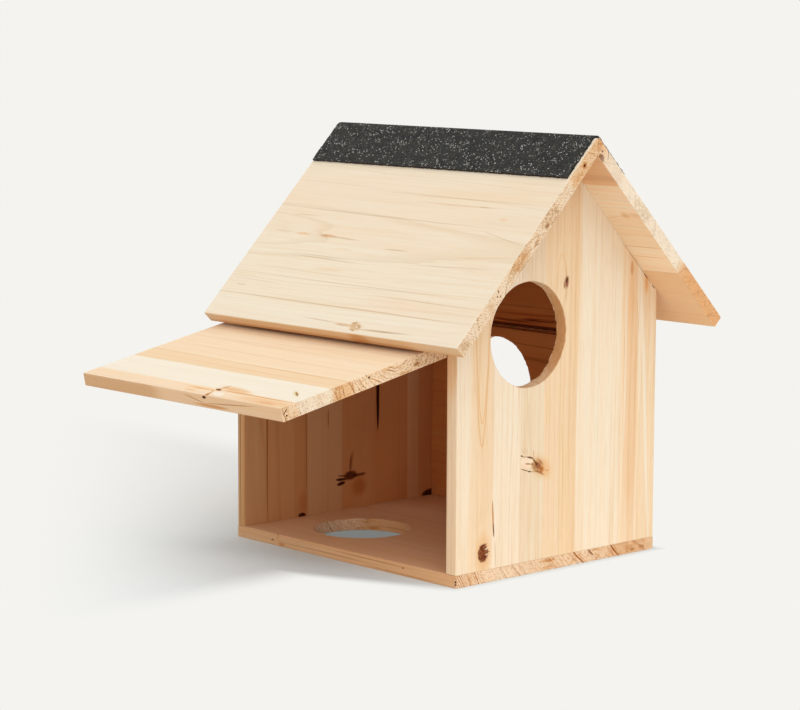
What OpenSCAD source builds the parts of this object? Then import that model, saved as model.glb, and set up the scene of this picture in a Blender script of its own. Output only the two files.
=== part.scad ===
// Squirrel nest house of bare fir boards: a floor, two gable walls, a side wall of two
// boards, a gable roof with a felt strip over the ridge, and a side flap that swings on two nails.
// Millimetres, +Z up. The entrance gable faces -Y and the flap hangs on the -X side.
// The origin is the centre of the floor board's underside, on the ground.

/* [House box] */
// Width over the long edges of the floor and gables, along X
house_w = 190; // [170:1:220]
// Length over the outer faces of the two gables, along Y
house_l = 222; // [190:1:260]
// Height of the gables' straight side edges above the floor board
wall_h = 172; // [160:1:200]

/* [Board thicknesses] */
// Floor board
floor_t = 8.5; // [7:0.5:14]
// Entrance gable
entrance_wall_t = 9.5; // [8:0.5:14]
// Rear gable
rear_wall_t = 7.5; // [7:0.5:14]
// Side wall boards
side_wall_t = 9; // [7:0.5:14]
// Roof boards
roof_t = 9; // [7:0.5:12]
// Side flap
flap_t = 9; // [7:0.5:11]
// Planed-off corner along the grain edges of every board
edge_ease = 0.8; // [0.3:0.1:1.2]

/* [Side wall] */
// Height of the joint between the two side wall boards above the ground
side_joint_z = 143.7; // [141:0.1:152]
// Open gap of that joint
side_joint_gap = 0.6; // [0.3:0.1:0.9]

/* [Roof] */
// Slope of both roof boards in degrees
roof_pitch = 45.5; // [42:0.5:48]
// Reach of the underside past the side edges of the gables, along X
eave_overhang = 24.3; // [20:0.1:32]
// Reach of the roof past the entrance gable
porch_overhang = 31.5; // [15:0.5:45]
// Distance from the rear gable's outer face back to the roof's end
rear_setback = 1.5; // [0:0.5:4]
// Width of the flat planed along the ridge under the felt
ridge_flat = 3; // [2:0.5:5]
// Depth of the open corner under the ridge, measured down the mitre of the far roof board
ridge_relief_h = 3.2; // [1:0.2:5]
// Width of that open corner along X
ridge_relief_w = 4.2; // [1:0.2:6]

/* [Ridge felt] */
// Thickness of the felt strip
felt_t = 1.8; // [1:0.1:3]
// Reach of the strip down each slope from the line where the slopes meet
felt_leg = 37.5; // [25:0.5:60]
// Distance from the porch end of the roof to the strip
felt_porch_setback = 1.7; // [0.5:0.1:5]
// Distance from the rear end of the roof to the strip
felt_rear_setback = 0.3; // [0:0.1:5]

/* [Holes] */
// Diameter of the entrance hole
entrance_hole_d = 70; // [50:1:76]
// Its centre along X
entrance_hole_x = -30; // [-40:1:40]
// Its centre above the ground
entrance_hole_z = 160; // [130:1:165]
// Diameter of the hole in the side wall
side_hole_d = 68; // [45:1:72]
// Its centre along Y
side_hole_y = 35; // [-45:1:45]
// Its centre above the ground
side_hole_z = 101; // [70:0.5:102]
// Diameter of the escape hole in the floor
floor_hole_d = 68; // [45:1:76]
// Its centre along X
floor_hole_x = -37; // [-40:1:40]
// Its centre along Y
floor_hole_y = 44; // [-45:1:45]

/* [Side flap] */
// Distance of the pivot below the top of the gables' side edges
hinge_drop = 25.5; // [22:0.1:28]
// Length of the flap beyond the pivot, inside the house
flap_head = 14; // [8:0.5:15]
// Gap between the closed flap and the floor board
flap_floor_gap = 2; // [1.5:0.5:8]
// Gap between each end of the flap and the gable beside it
flap_side_gap = 0.6; // [0.5:0.1:1.5]
// Gap between the flap, held open as shown, and the eave above it
flap_open_gap = 2.4; // [0.4:0.1:4]

/* [Pivot nails] */
// Diameter of the nail's shank
nail_d = 2; // [1.6:0.1:2.6]
// Length of the shank under the head
nail_len = 25; // [20:1:35]
// Length of its point
nail_point = 3; // [2:0.5:4]
// Diameter of the head
nail_head_d = 4.4; // [3.6:0.1:6]
// Thickness of the head
nail_head_t = 0.7; // [0.5:0.1:1.2]
// Radial play of the flap on the nails
nail_play = 0.06; // [0.02:0.01:0.1]
// Space left in the flap past the nail's point
nail_end_room = 1; // [0.5:0.5:3]

/* [Board pins] */
// Diameter of the headless pins that hold the boards together
pin_d = 1.2; // [1:0.1:1.6]
// Length of a pin
pin_len = 25; // [18:1:28]
// Length of its point
pin_point = 1.5; // [1:0.5:3]
// Depth of a pin's top below the wood's surface
pin_set = 0.3; // [0.1:0.1:1]
// Radial play of pins and nails in the boards they are driven into
driven_play = 0.02; // [0.01:0.01:0.04]
// Distance of the outer floor pins from the side edges of the gables
floor_pin_inset = 20; // [14:1:40]
// Distance of the outer pins into the side wall from the gables' inner faces
side_pin_inset = 40; // [32:1:60]
// Height of the lowest side wall pin above the floor board
side_pin_low = 25; // [22:1:34]
// Distance of the pins beside the side wall's joint from that joint
side_pin_joint = 14; // [8:1:18]
// Distance of the highest roof pins down the slope from the peak
roof_pin_high = 32; // [31:1:36]
// Distance of the lowest roof pins from the side edges of the gables, along X
roof_pin_inset = 16; // [12:1:24]

/* [Hidden] */
$fn = 96;

pale_wood = "burlywood";
shaded_wood = "tan";
roof_wood = "wheat";
steel = "silver";
felt_black = "dimgray";

// Room that a cutting shape has past the face that it cuts
past = 1;
// Sides of the house: -1 is the flap side, 1 is the far side
FLAP = -1;
FAR = 1;

half_w = house_w / 2;
half_l = house_l / 2;
wall_top_z = floor_t + wall_h;
under_peak_z = wall_top_z + half_w * tan(roof_pitch);
ridge_z = under_peak_z + roof_t / cos(roof_pitch);
porch_y = -half_l - porch_overhang;
roof_rear_y = half_l - rear_setback;
slope_len = (half_w + eave_overhang + roof_t * sin(roof_pitch)) / cos(roof_pitch);

room_front_y = -half_l + entrance_wall_t;
room_rear_y = half_l - rear_wall_t;
entrance_mid_y = -half_l + entrance_wall_t / 2;
rear_mid_y = half_l - rear_wall_t / 2;
side_mid_x = half_w - side_wall_t / 2;

hinge_x = -half_w + flap_t / 2;
hinge_z = wall_top_z - hinge_drop;
flap_drop = hinge_z - floor_t - flap_floor_gap;

// The corner of the flap side's eave that stops the flap where it is swung up further than shown
stop = roof_point(FLAP, slope_len - edge_ease, -roof_t);
stop_out = hinge_x - stop[0];
stop_up = stop[1] - hinge_z;
// How far the open flap still hangs below level, and how far that is from hanging closed
open_dip = asin((flap_t / 2 + flap_open_gap) / norm([stop_out, stop_up])) - atan2(stop_up, stop_out);
open_angle = 90 - open_dip;

// A point of a roof board's section: u runs down the slope from the peak, v out of the wood
function roof_point(side, u, v) = [
    side * (u * cos(roof_pitch) + v * sin(roof_pitch)),
    ridge_z - u * sin(roof_pitch) + v * cos(roof_pitch)
];

// Slope position of a roof pin that meets the gable's top edge at x = side * reach
function slope_over(reach) = (reach + roof_t * sin(roof_pitch)) / cos(roof_pitch);

roof_pin_low = slope_over(half_w - roof_pin_inset);
roof_pin_rows = [roof_pin_high, (roof_pin_high + roof_pin_low) / 2, roof_pin_low];
floor_pin_xs = [-half_w + floor_pin_inset, 0, half_w - floor_pin_inset];
side_floor_pin_ys = [
    room_front_y + side_pin_inset,
    (room_front_y + room_rear_y) / 2,
    room_rear_y - side_pin_inset
];
side_pin_zs = [
    floor_t + side_pin_low,
    side_joint_z - side_pin_joint,
    side_joint_z + side_pin_joint
];

// Section of a board, w by t from the corner, with its four corners planed off
module board_section(w, t) {
    e = edge_ease;
    polygon([[e, 0], [w - e, 0], [w, e], [w, t - e], [w - e, t], [e, t], [0, t - e], [0, e]]);
}

// Stands an X-Z section up and runs it along Y
module along_y(from_y, to_y) {
    translate([0, to_y, 0]) rotate([90, 0, 0]) linear_extrude(to_y - from_y) children();
}

// Everything in the X-Z plane that lies under the roof boards
module under_roof_section() {
    polygon([
        [-half_w, 0], [half_w, 0], [half_w, wall_top_z],
        [0, under_peak_z], [-half_w, wall_top_z]
    ]);
}

// A straight fastener from z = 0 down, with its point at the end
module shank(d, length, point) {
    translate([0, 0, -length + point]) cylinder(d = d, h = length - point);
    translate([0, 0, -length]) cylinder(d1 = d / 5, d2 = d, h = point);
}

// The hole that a shank is driven into, open at its mouth
module shank_hole(d, length, point) {
    shank(d + 2 * driven_play, length + driven_play, point);
    translate([0, 0, -past / 2]) cylinder(d = d + 2 * driven_play, h = past * 1.5);
}

// The hole for a pivot nail, with a seat that lets its head lie flush with the surface
module nail_hole() {
    shank_hole(nail_d, nail_head_t + nail_len, nail_point);
    translate([0, 0, -nail_head_t])
        cylinder(d = nail_head_d + 2 * driven_play, h = nail_head_t + past);
}

// A pin whose top is set below the surface at z = 0, and the hole for it
module pin() translate([0, 0, -pin_set]) shank(pin_d, pin_len - pin_set, pin_point);
module pin_hole() shank_hole(pin_d, pin_len, pin_point);

// Pins driven up through the floor board into the wall above
module at_entrance_floor_pins()
    for (x = floor_pin_xs) translate([x, entrance_mid_y, 0]) rotate([180, 0, 0]) children();
module at_rear_floor_pins()
    for (x = floor_pin_xs) translate([x, rear_mid_y, 0]) rotate([180, 0, 0]) children();
module at_side_floor_pins()
    for (y = side_floor_pin_ys) translate([side_mid_x, y, 0]) rotate([180, 0, 0]) children();

// Pins driven through a gable into the ends of the side wall boards
module at_entrance_side_pins()
    for (z = side_pin_zs) translate([side_mid_x, -half_l, z]) rotate([90, 0, 0]) children();
module at_rear_side_pins()
    for (z = side_pin_zs) translate([side_mid_x, half_l, z]) rotate([-90, 0, 0]) children();

// Pins driven square through a roof board into both gables
module at_roof_pins(side)
    for (y = [entrance_mid_y, rear_mid_y])
        for (u = roof_pin_rows) {
            p = roof_point(side, u, 0);
            translate([p[0], y, p[1]]) rotate([0, side * roof_pitch, 0]) children();
        }

// The two nails that the flap turns on, heads outside
module at_entrance_nail() translate([hinge_x, -half_l, hinge_z]) rotate([90, 0, 0]) children();
module at_rear_nail() translate([hinge_x, half_l, hinge_z]) rotate([-90, 0, 0]) children();

module floor_board() {
    color(shaded_wood) difference() {
        along_y(-half_l, half_l) translate([-half_w, 0]) board_section(house_w, floor_t);
        translate([floor_hole_x, floor_hole_y, -past])
            cylinder(d = floor_hole_d, h = floor_t + 2 * past);
        at_entrance_floor_pins() pin_hole();
        at_rear_floor_pins() pin_hole();
        at_side_floor_pins() pin_hole();
    }
}

// A gable with its grain upright, from from_y to to_y
module gable(from_y, to_y) {
    intersection() {
        along_y(from_y, to_y) under_roof_section();
        translate([-half_w, from_y, floor_t])
            linear_extrude(under_peak_z - floor_t) board_section(house_w, to_y - from_y);
    }
}

module entrance_wall() {
    color(pale_wood) difference() {
        gable(-half_l, room_front_y);
        translate([entrance_hole_x, room_front_y + past, entrance_hole_z]) rotate([90, 0, 0])
            cylinder(d = entrance_hole_d, h = entrance_wall_t + 2 * past);
        at_entrance_floor_pins() pin_hole();
        at_entrance_side_pins() pin_hole();
        at_roof_pins(FLAP) pin_hole();
        at_roof_pins(FAR) pin_hole();
        at_entrance_nail() nail_hole();
    }
}

module rear_wall() {
    color(shaded_wood) difference() {
        gable(room_rear_y, half_l);
        at_rear_floor_pins() pin_hole();
        at_rear_side_pins() pin_hole();
        at_roof_pins(FLAP) pin_hole();
        at_roof_pins(FAR) pin_hole();
        at_rear_nail() nail_hole();
    }
}

// A board of the side wall between the gables, from z = low_z to z = high_z
module side_board(low_z, high_z) {
    along_y(room_front_y, room_rear_y) intersection() {
        translate([half_w - side_wall_t, low_z]) board_section(side_wall_t, high_z - low_z);
        under_roof_section();
    }
}

module side_wall_lower_board() {
    color(shaded_wood) difference() {
        side_board(floor_t, side_joint_z - side_joint_gap / 2);
        translate([half_w - side_wall_t - past, side_hole_y, side_hole_z]) rotate([0, 90, 0])
            cylinder(d = side_hole_d, h = side_wall_t + 2 * past);
        at_side_floor_pins() pin_hole();
        at_entrance_side_pins() pin_hole();
        at_rear_side_pins() pin_hole();
    }
}

module side_wall_upper_board() {
    color(shaded_wood) difference() {
        side_board(side_joint_z + side_joint_gap / 2, under_peak_z);
        at_entrance_side_pins() pin_hole();
        at_rear_side_pins() pin_hole();
    }
}

// Section of a roof board: mitred at the ridge, square at the eave with its corners planed off
module roof_section(side) {
    e = edge_ease;
    flat_u = ridge_flat / 2 / cos(roof_pitch);
    flat_p = roof_point(side, flat_u, 0);
    inner = [0, under_peak_z];
    relieved = [
        [0, inner[1] + ridge_relief_h],
        [ridge_relief_w, inner[1] - ridge_relief_w * tan(roof_pitch)]
    ];
    polygon(concat(
        [
            [0, flat_p[1]], flat_p,
            roof_point(side, slope_len - e, 0), roof_point(side, slope_len, -e),
            roof_point(side, slope_len, -roof_t + e), roof_point(side, slope_len - e, -roof_t)
        ],
        side == FAR ? [relieved[1], relieved[0]] : [inner]
    ));
}

module roof_board(side) {
    difference() {
        along_y(porch_y, roof_rear_y) roof_section(side);
        at_roof_pins(side) pin_hole();
    }
}

module flap_side_roof_board() color(roof_wood) roof_board(FLAP);
module far_side_roof_board() color(roof_wood) roof_board(FAR);

// The felt lies on both slopes and over the flat of the ridge
module ridge_felt() {
    flat_u = ridge_flat / 2 / cos(roof_pitch);
    crown_u = (ridge_flat / 2 * tan(roof_pitch) - felt_t * (1 - cos(roof_pitch))) / sin(roof_pitch);
    color(felt_black) along_y(porch_y + felt_porch_setback, roof_rear_y - felt_rear_setback)
        polygon([
            roof_point(FLAP, felt_leg, 0), roof_point(FLAP, flat_u, 0),
            roof_point(FAR, flat_u, 0), roof_point(FAR, felt_leg, 0),
            roof_point(FAR, felt_leg, felt_t), roof_point(FAR, crown_u, felt_t),
            roof_point(FLAP, crown_u, felt_t), roof_point(FLAP, felt_leg, felt_t)
        ]);
}

// The flap is shown open, swung out and up under the eave
module side_flap() {
    color(roof_wood) difference() {
        translate([hinge_x, 0, hinge_z]) rotate([0, open_angle, 0])
            along_y(room_front_y + flap_side_gap, room_rear_y - flap_side_gap)
                translate([-flap_t / 2, -flap_drop]) board_section(flap_t, flap_drop + flap_head);
        at_entrance_nail() flap_bore();
        at_rear_nail() flap_bore();
    }
}

// Running bore for a pivot nail, with room past its point
module flap_bore() {
    reach = nail_head_t + nail_len + nail_end_room;
    translate([0, 0, -reach]) cylinder(d = nail_d + 2 * nail_play, h = reach);
}

// A flat-headed wire nail, the top of its head at z = 0
module pivot_nail() {
    color(steel) translate([0, 0, -nail_head_t]) union() {
        shank(nail_d, nail_len, nail_point);
        cylinder(d = nail_head_d, h = nail_head_t);
    }
}

module entrance_pivot_nail() at_entrance_nail() pivot_nail();
module rear_pivot_nail() at_rear_nail() pivot_nail();
module entrance_wall_floor_pins() color(steel) at_entrance_floor_pins() pin();
module rear_wall_floor_pins() color(steel) at_rear_floor_pins() pin();
module side_wall_floor_pins() color(steel) at_side_floor_pins() pin();
module entrance_wall_side_pins() color(steel) at_entrance_side_pins() pin();
module rear_wall_side_pins() color(steel) at_rear_side_pins() pin();
module flap_side_roof_pins() color(steel) at_roof_pins(FLAP) pin();
module far_side_roof_pins() color(steel) at_roof_pins(FAR) pin();

floor_board();
entrance_wall();
rear_wall();
side_wall_lower_board();
side_wall_upper_board();
flap_side_roof_board();
far_side_roof_board();
ridge_felt();
side_flap();
entrance_pivot_nail();
rear_pivot_nail();
entrance_wall_floor_pins();
rear_wall_floor_pins();
side_wall_floor_pins();
entrance_wall_side_pins();
rear_wall_side_pins();
flap_side_roof_pins();
far_side_roof_pins();
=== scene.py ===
"""Dresses the model of a squirrel nest house: fir boards, a felt strip over the ridge and a side flap.

Each board is modelled over its node at the node's own size, and stands on a pale studio floor."""

import math
import random
from bisect import bisect
from collections import namedtuple

import bmesh
import bpy
from mathutils import Matrix, Vector


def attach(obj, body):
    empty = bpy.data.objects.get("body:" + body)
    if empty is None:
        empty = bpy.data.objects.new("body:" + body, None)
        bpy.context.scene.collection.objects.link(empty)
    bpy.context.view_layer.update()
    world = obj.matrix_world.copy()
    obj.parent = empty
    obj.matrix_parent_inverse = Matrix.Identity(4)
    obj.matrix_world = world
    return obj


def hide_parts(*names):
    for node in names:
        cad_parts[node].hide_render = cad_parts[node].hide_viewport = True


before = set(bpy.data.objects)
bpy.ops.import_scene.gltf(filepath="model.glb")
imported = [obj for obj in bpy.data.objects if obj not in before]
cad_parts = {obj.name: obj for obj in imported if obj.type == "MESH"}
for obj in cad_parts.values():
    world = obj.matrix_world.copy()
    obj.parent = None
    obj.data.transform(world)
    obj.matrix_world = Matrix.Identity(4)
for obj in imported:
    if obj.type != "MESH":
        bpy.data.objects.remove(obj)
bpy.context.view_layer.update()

bl_info = {
    "name": "Squirrel House",
    "version": (1, 0, 0),
    "blender": (4, 5, 0),
    "location": "View3D > Sidebar > Squirrel House",
    "description": "Models a wooden squirrel nest house board by board",
    "category": "Add Mesh",
}

MM = 0.001

# How close two places or two radii are that count as the same, in metres
SAME_PLACE, SAME_RADIUS = 1e-6, 2e-5
# How far a bit runs past the wood for an opening and for a nail's bore, in metres
RUN_OUT, NAIL_RUN_OUT = 0.002, 0.001
# Play round a pivot nail in the gable and in the flap, in metres
GABLE_PLAY, FLAP_PLAY = 0.00003, 0.00006
# How many depths the tears of a rim have
TEAR_DEPTHS = 5
# A cell of the felt's cut edge, and how deep the edge is torn down the legs and at the ends, in metres
FELT_CELL, LEG_TEAR, END_TEAR = 0.0013, 0.00035, 0.0006
# How a stain's strength grows with its share, and how slim a mark is that wanders with the grain
STAIN_POWER, SLIM_MARK = 1.6, 14
# Lamps: how wide they are in degrees, and the way to them
HIGH_LAMP, SIDE_LAMP = (75, (0.08, -0.52, 0.85)), (80, (-0.72, -0.40, 0.57))
# Camera: its place in metres, and its azimuth, elevation and roll in degrees
CAMERA_PLACE, CAMERA_TURN = (-1.224102, -1.281002, 0.371800), (-42.696, 7.693, 0.241)


def paint(red, green, blue):
    """A colour as it is picked on screen, as the linear value that a shader takes"""
    shares = [v / 255 for v in (red, green, blue)]
    linear = [v / 12.92 if v <= 0.04045 else ((v + 0.055) / 1.055) ** 2.4 for v in shares]
    return (*linear, 1.0)


# Sizes and colours that a user would change

def length(name, description, default):
    return bpy.props.FloatProperty(
        name=name, description=description, default=default, unit="LENGTH", precision=4, min=0.0)


def tone(name, description, default):
    return bpy.props.FloatVectorProperty(
        name=name, description=description, default=default, size=4, subtype="COLOR", min=0.0, max=1.0)


class HouseSizes(bpy.types.PropertyGroup):
    """Sizes of the boards, in metres"""
    width: length("Width", "Width over the edges of the floor and gables", 0.190)
    depth: length("Length", "Length over the outer faces of the gables", 0.222)
    wall_height: length("Wall height", "Height of the gables' straight side edges above the floor", 0.172)
    floor_thickness: length("Floor", "Thickness of the floor board", 0.0085)
    entrance_thickness: length("Entrance gable", "Thickness of the entrance gable", 0.0095)
    rear_thickness: length("Rear gable", "Thickness of the rear gable", 0.0075)
    side_thickness: length("Side wall", "Thickness of the side wall boards", 0.009)
    roof_thickness: length("Roof", "Thickness of the roof boards", 0.009)
    flap_thickness: length("Flap", "Thickness of the side flap", 0.009)
    pitch: bpy.props.FloatProperty(
        name="Roof pitch", description="Slope of the roof boards", default=math.radians(45.5), subtype="ANGLE")
    eave: length("Eave", "Reach of the roof's underside past the gables' edges", 0.0243)
    porch: length("Porch", "Reach of the roof past the entrance gable", 0.0315)
    rear_setback: length("Rear setback", "Distance from the rear gable's face back to the roof's end", 0.0015)
    ridge_flat: length("Ridge flat", "Width of the flat planed along the ridge", 0.003)
    relief_height: length("Relief height", "Height of the open corner under the ridge", 0.0032)
    relief_width: length("Relief width", "Width of the open corner under the ridge", 0.0042)
    joint_height: length("Side joint", "Height of the joint between the side wall boards", 0.1437)
    joint_gap: length("Joint gap", "Open gap of that joint", 0.0006)
    ease: length("Eased edge", "Rounding of the long edges", 0.0009)
    crisp: length("Cut edge", "Rounding of the sawn edges", 0.0003)


class HoleSizes(bpy.types.PropertyGroup):
    """Round openings and the nails' places, in metres"""
    entrance_radius: length("Entrance radius", "Radius of the entrance hole", 0.035)
    entrance_x: bpy.props.FloatProperty(
        name="Entrance X", description="Centre of the entrance hole along X", default=-0.030, unit="LENGTH")
    entrance_z: length("Entrance Z", "Centre of the entrance hole above the ground", 0.160)
    side_radius: length("Side radius", "Radius of the hole in the side wall", 0.034)
    side_y: length("Side Y", "Centre of the side hole along Y", 0.035)
    side_z: length("Side Z", "Centre of the side hole above the ground", 0.101)
    floor_radius: length("Floor radius", "Radius of the escape hole", 0.034)
    floor_x: bpy.props.FloatProperty(
        name="Floor X", description="Centre of the escape hole along X", default=-0.037, unit="LENGTH")
    floor_y: length("Floor Y", "Centre of the escape hole along Y", 0.044)
    nail_radius: length("Nail radius", "Radius of the pivot nails' shank", 0.001)
    nail_head: length("Nail head", "Radius of the seat for a nail's head", 0.00225)
    nail_head_depth: length("Seat depth", "Depth of that seat", 0.0007)
    nail_reach: length("Nail reach", "Depth of the nail's bore from the gable's face", 0.0267)


class FlapSizes(bpy.types.PropertyGroup):
    """The side flap, in metres"""
    hinge_drop: length("Hinge drop", "Distance of the pivot below the top of the gables' edges", 0.0255)
    head: length("Flap head", "Length of the flap beyond the pivot", 0.014)
    floor_gap: length("Floor gap", "Gap between the closed flap and the floor board", 0.002)
    side_gap: length("Side gap", "Gap between the flap and the gable beside it", 0.0006)
    dip: bpy.props.FloatProperty(
        name="Open dip", description="How far the open flap hangs below level",
        default=math.radians(11.4047), subtype="ANGLE")


class FeltSizes(bpy.types.PropertyGroup):
    """The felt over the ridge, in metres"""
    thickness: length("Thickness", "Thickness of the felt", 0.00155)
    grit: length("Grit", "Height of the mineral grit on it", 0.00022)
    leg: length("Leg", "Reach of the felt down each slope", 0.0375)
    porch_setback: length("Porch setback", "Distance from the porch end of the roof", 0.0018)
    rear_setback: length("Rear setback", "Distance from the rear end of the roof", 0.0004)


class WoodTones(bpy.types.PropertyGroup):
    """Colours of fir, steel and felt"""
    cream: tone("Cream", "Plain fir between the rings", paint(245, 227, 200))
    straw: tone("Straw", "Plain fir where it is a little yellower", paint(249, 221, 184))
    amber: tone("Amber", "Plain fir in the warm light under the roof", paint(255, 225, 187))
    sapwood: tone("Sapwood", "Pale wood at the outside of the tree", paint(248, 238, 220))
    heartwood: tone("Heartwood", "Orange wood at the heart of the tree", paint(241, 206, 163))
    peach: tone("Peach", "Warm wood between sapwood and heartwood", paint(247, 216, 184))
    greyed: tone("Greyed", "Wood that has greyed a little", paint(227, 210, 184))
    latewood: tone("Latewood", "Dense line at the end of each ring", paint(212, 178, 136))
    rust: tone("Rust", "Resinous orange-brown wood", paint(200, 140, 86))
    fleck: tone("Fleck", "Resin canals and short dark fibres", paint(142, 96, 56))
    knot: tone("Knot", "Heart of a knot", paint(136, 92, 74))
    bark: tone("Bark", "Dark border and cracks of a knot", paint(64, 32, 16))
    plum: tone("Plum", "Reddish wood beside a knot", paint(172, 122, 106))
    halo: tone("Halo", "Resin-stained wood round a knot", paint(234, 184, 132))
    resin: tone("Resin", "Yellow of a resin pocket", paint(224, 200, 122))
    end_pale: tone("End pale", "Pale end grain", paint(248, 223, 193))
    end_dark: tone("End dark", "Latewood in the end grain", paint(204, 150, 104))
    # Painted shade: the inside tint darkens and browns the inner faces for the shade inside the house
    inside: tone("Inside", "Tint of the inner faces", paint(222, 170, 118))
    edge: tone("Edge", "Tint of the boards' long edges", paint(236, 210, 182))
    bitumen: tone("Bitumen", "Ground of the felt", paint(32, 33, 33))
    grit: tone("Grit", "Pale mineral grit on the felt", paint(206, 203, 194))
    steel: tone("Steel", "Bright wire", paint(196, 196, 194))


class StudioSettings(bpy.types.PropertyGroup):
    """Floor, lamps and camera"""
    backdrop: tone("Backdrop", "Colour of the floor and of the backdrop", paint(244, 243, 239))
    key: bpy.props.FloatProperty(name="Key", description="Strength of the high lamp", default=1.60)
    fill: bpy.props.FloatProperty(name="Fill", description="Strength of the lamp on the flap's side", default=0.78)
    surround: bpy.props.FloatProperty(name="Surround", description="Strength of the light all round", default=0.43)
    focal: bpy.props.FloatProperty(
        name="Focal length", description="Focal length of the camera", default=115.83, unit="CAMERA")


# Boards: each has its own directions, across the grain, through the thickness and along the grain

Board = namedtuple("Board", "across through along origin low high")


def board_place(board, point):
    """A point's place on a board: across, through, along"""
    arm = Vector(point) - board.origin
    return Vector((arm.dot(board.across), arm.dot(board.through), arm.dot(board.along)))


def board_point(board, across, through, along):
    return board.origin + board.across * across + board.through * through + board.along * along


def heights(sizes):
    """Top of the walls' edges, peak of the gables and line of the ridge"""
    wall_top = sizes.floor_thickness + sizes.wall_height
    peak = wall_top + sizes.width / 2 * math.tan(sizes.pitch)
    return wall_top, peak, peak + sizes.roof_thickness / math.cos(sizes.pitch)


def house_boards(scene):
    """Every board's directions and corners"""
    s, flap = scene.house_sizes, scene.flap_sizes
    x, y = s.width / 2, s.depth / 2
    wall_top, peak, ridge = heights(s)
    front, rear = -y + s.entrance_thickness, y - s.rear_thickness
    ax, ay, az, nothing = Vector((1, 0, 0)), Vector((0, 1, 0)), Vector((0, 0, 1)), Vector()
    sin, cos = math.sin(s.pitch), math.cos(s.pitch)
    slope = (x + s.eave + s.roof_thickness * sin) / cos
    roof_low, roof_high = Vector((0, -s.roof_thickness, -y - s.porch)), Vector((slope, 0, y - s.rear_setback))
    top = Vector((0, 0, ridge))
    hinge = Vector((-x + s.flap_thickness / 2, 0, wall_top - flap.hinge_drop))
    drop = hinge.z - s.floor_thickness - flap.floor_gap
    out = Vector((-math.cos(flap.dip), 0, -math.sin(flap.dip)))
    up = Vector((-math.sin(flap.dip), 0, math.cos(flap.dip)))
    low_edge, high_edge = s.joint_height - s.joint_gap / 2, s.joint_height + s.joint_gap / 2
    return {
        "floor": Board(ax, az, ay, nothing, Vector((-x, 0, -y)), Vector((x, s.floor_thickness, y))),
        "entrance": Board(ax, ay, az, nothing, Vector((-x, -y, s.floor_thickness)), Vector((x, front, peak))),
        "rear": Board(ax, ay, az, nothing, Vector((-x, rear, s.floor_thickness)), Vector((x, y, peak))),
        "side_low": Board(az, ax, ay, nothing, Vector((s.floor_thickness, x - s.side_thickness, front)),
                          Vector((low_edge, x, rear))),
        "side_high": Board(az, ax, ay, nothing, Vector((high_edge, x - s.side_thickness, front)),
                           Vector((wall_top + s.side_thickness * 1.2, x, rear))),
        "roof_flap_side": Board(Vector((-cos, 0, -sin)), Vector((-sin, 0, cos)), ay, top, roof_low, roof_high),
        "roof_far_side": Board(Vector((cos, 0, -sin)), Vector((sin, 0, cos)), ay, top, roof_low, roof_high),
        "flap": Board(out, up, ay, hinge,
                      Vector((-flap.head, -s.flap_thickness / 2, front + flap.side_gap)),
                      Vector((drop, s.flap_thickness / 2, rear - flap.side_gap))),
    }


# Joinery, as by hand in edit mode

def take_up(piece):
    """Makes a piece the only selected one"""
    if bpy.context.object and bpy.context.object.mode != "OBJECT":
        bpy.ops.object.mode_set(mode="OBJECT")
    bpy.ops.object.select_all(action="DESELECT")
    piece.select_set(True)
    bpy.context.view_layer.objects.active = piece


def pick(piece, kind, test):
    """Selects the vertices, edges or faces of a piece in edit mode that pass a test, and counts them"""
    bpy.context.tool_settings.mesh_select_mode = (kind == "verts", kind == "edges", kind == "faces")
    shape = bmesh.from_edit_mesh(piece.data)
    bpy.ops.mesh.select_all(action="DESELECT")
    picked = [part for part in getattr(shape, kind) if test(part)]
    for part in picked:
        part.select_set(True)
    shape.select_flush_mode()
    bmesh.update_edit_mesh(piece.data)
    return len(picked)


def rough_board(name, board):
    """Saws a block to the board's outer size"""
    bpy.ops.object.select_all(action="DESELECT")
    middle = (board.low + board.high) / 2
    turn = Matrix((board.across, board.through, board.across.cross(board.through))).transposed()
    bpy.ops.mesh.primitive_cube_add(size=1, location=board_point(board, *middle), rotation=turn.to_euler())
    piece = bpy.context.object
    piece.name = piece.data.name = name
    piece.scale = board.high - board.low
    bpy.ops.object.transform_apply(location=True, rotation=True, scale=True)
    return piece


def saw_off(piece, point, outward):
    """Cuts a piece along a plane and drops what lies outward of it"""
    take_up(piece)
    bpy.ops.object.mode_set(mode="EDIT")
    bpy.ops.mesh.select_all(action="SELECT")
    bpy.ops.mesh.bisect(plane_co=point, plane_no=outward, use_fill=True, clear_outer=True)
    bpy.ops.object.mode_set(mode="OBJECT")


def ease_long_edges(piece, board, size, keep=None):
    """Rounds the edges that run with the grain at the board's corners"""
    def at_corner(edge):
        ends = [board_place(board, v.co) for v in edge.verts]
        if (ends[0] - ends[1]).xy.length > SAME_PLACE:
            return False
        a, t = ends[0].x, ends[0].y
        corner = any(abs(a - e) < SAME_PLACE for e in (board.low.x, board.high.x)) and any(
            abs(t - e) < SAME_PLACE for e in (board.low.y, board.high.y))
        return corner and (keep is None or keep(ends[0]))
    take_up(piece)
    bpy.ops.object.mode_set(mode="EDIT")
    pick(piece, "edges", at_corner)
    bpy.ops.mesh.bevel(offset=size, segments=3, profile=0.5, affect="EDGES")
    bpy.ops.object.mode_set(mode="OBJECT")


def crisp_edges(piece, size):
    """Takes the sharpness off the sawn edges"""
    take_up(piece)
    bpy.ops.object.mode_set(mode="EDIT")
    bpy.context.tool_settings.mesh_select_mode = (False, True, False)
    bpy.ops.mesh.select_all(action="DESELECT")
    bpy.ops.mesh.edges_select_sharp(sharpness=math.radians(33))
    bpy.ops.mesh.bevel(offset=size, segments=2, profile=0.5, affect="EDGES", clamp_overlap=True)
    bpy.ops.object.mode_set(mode="OBJECT")


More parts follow.
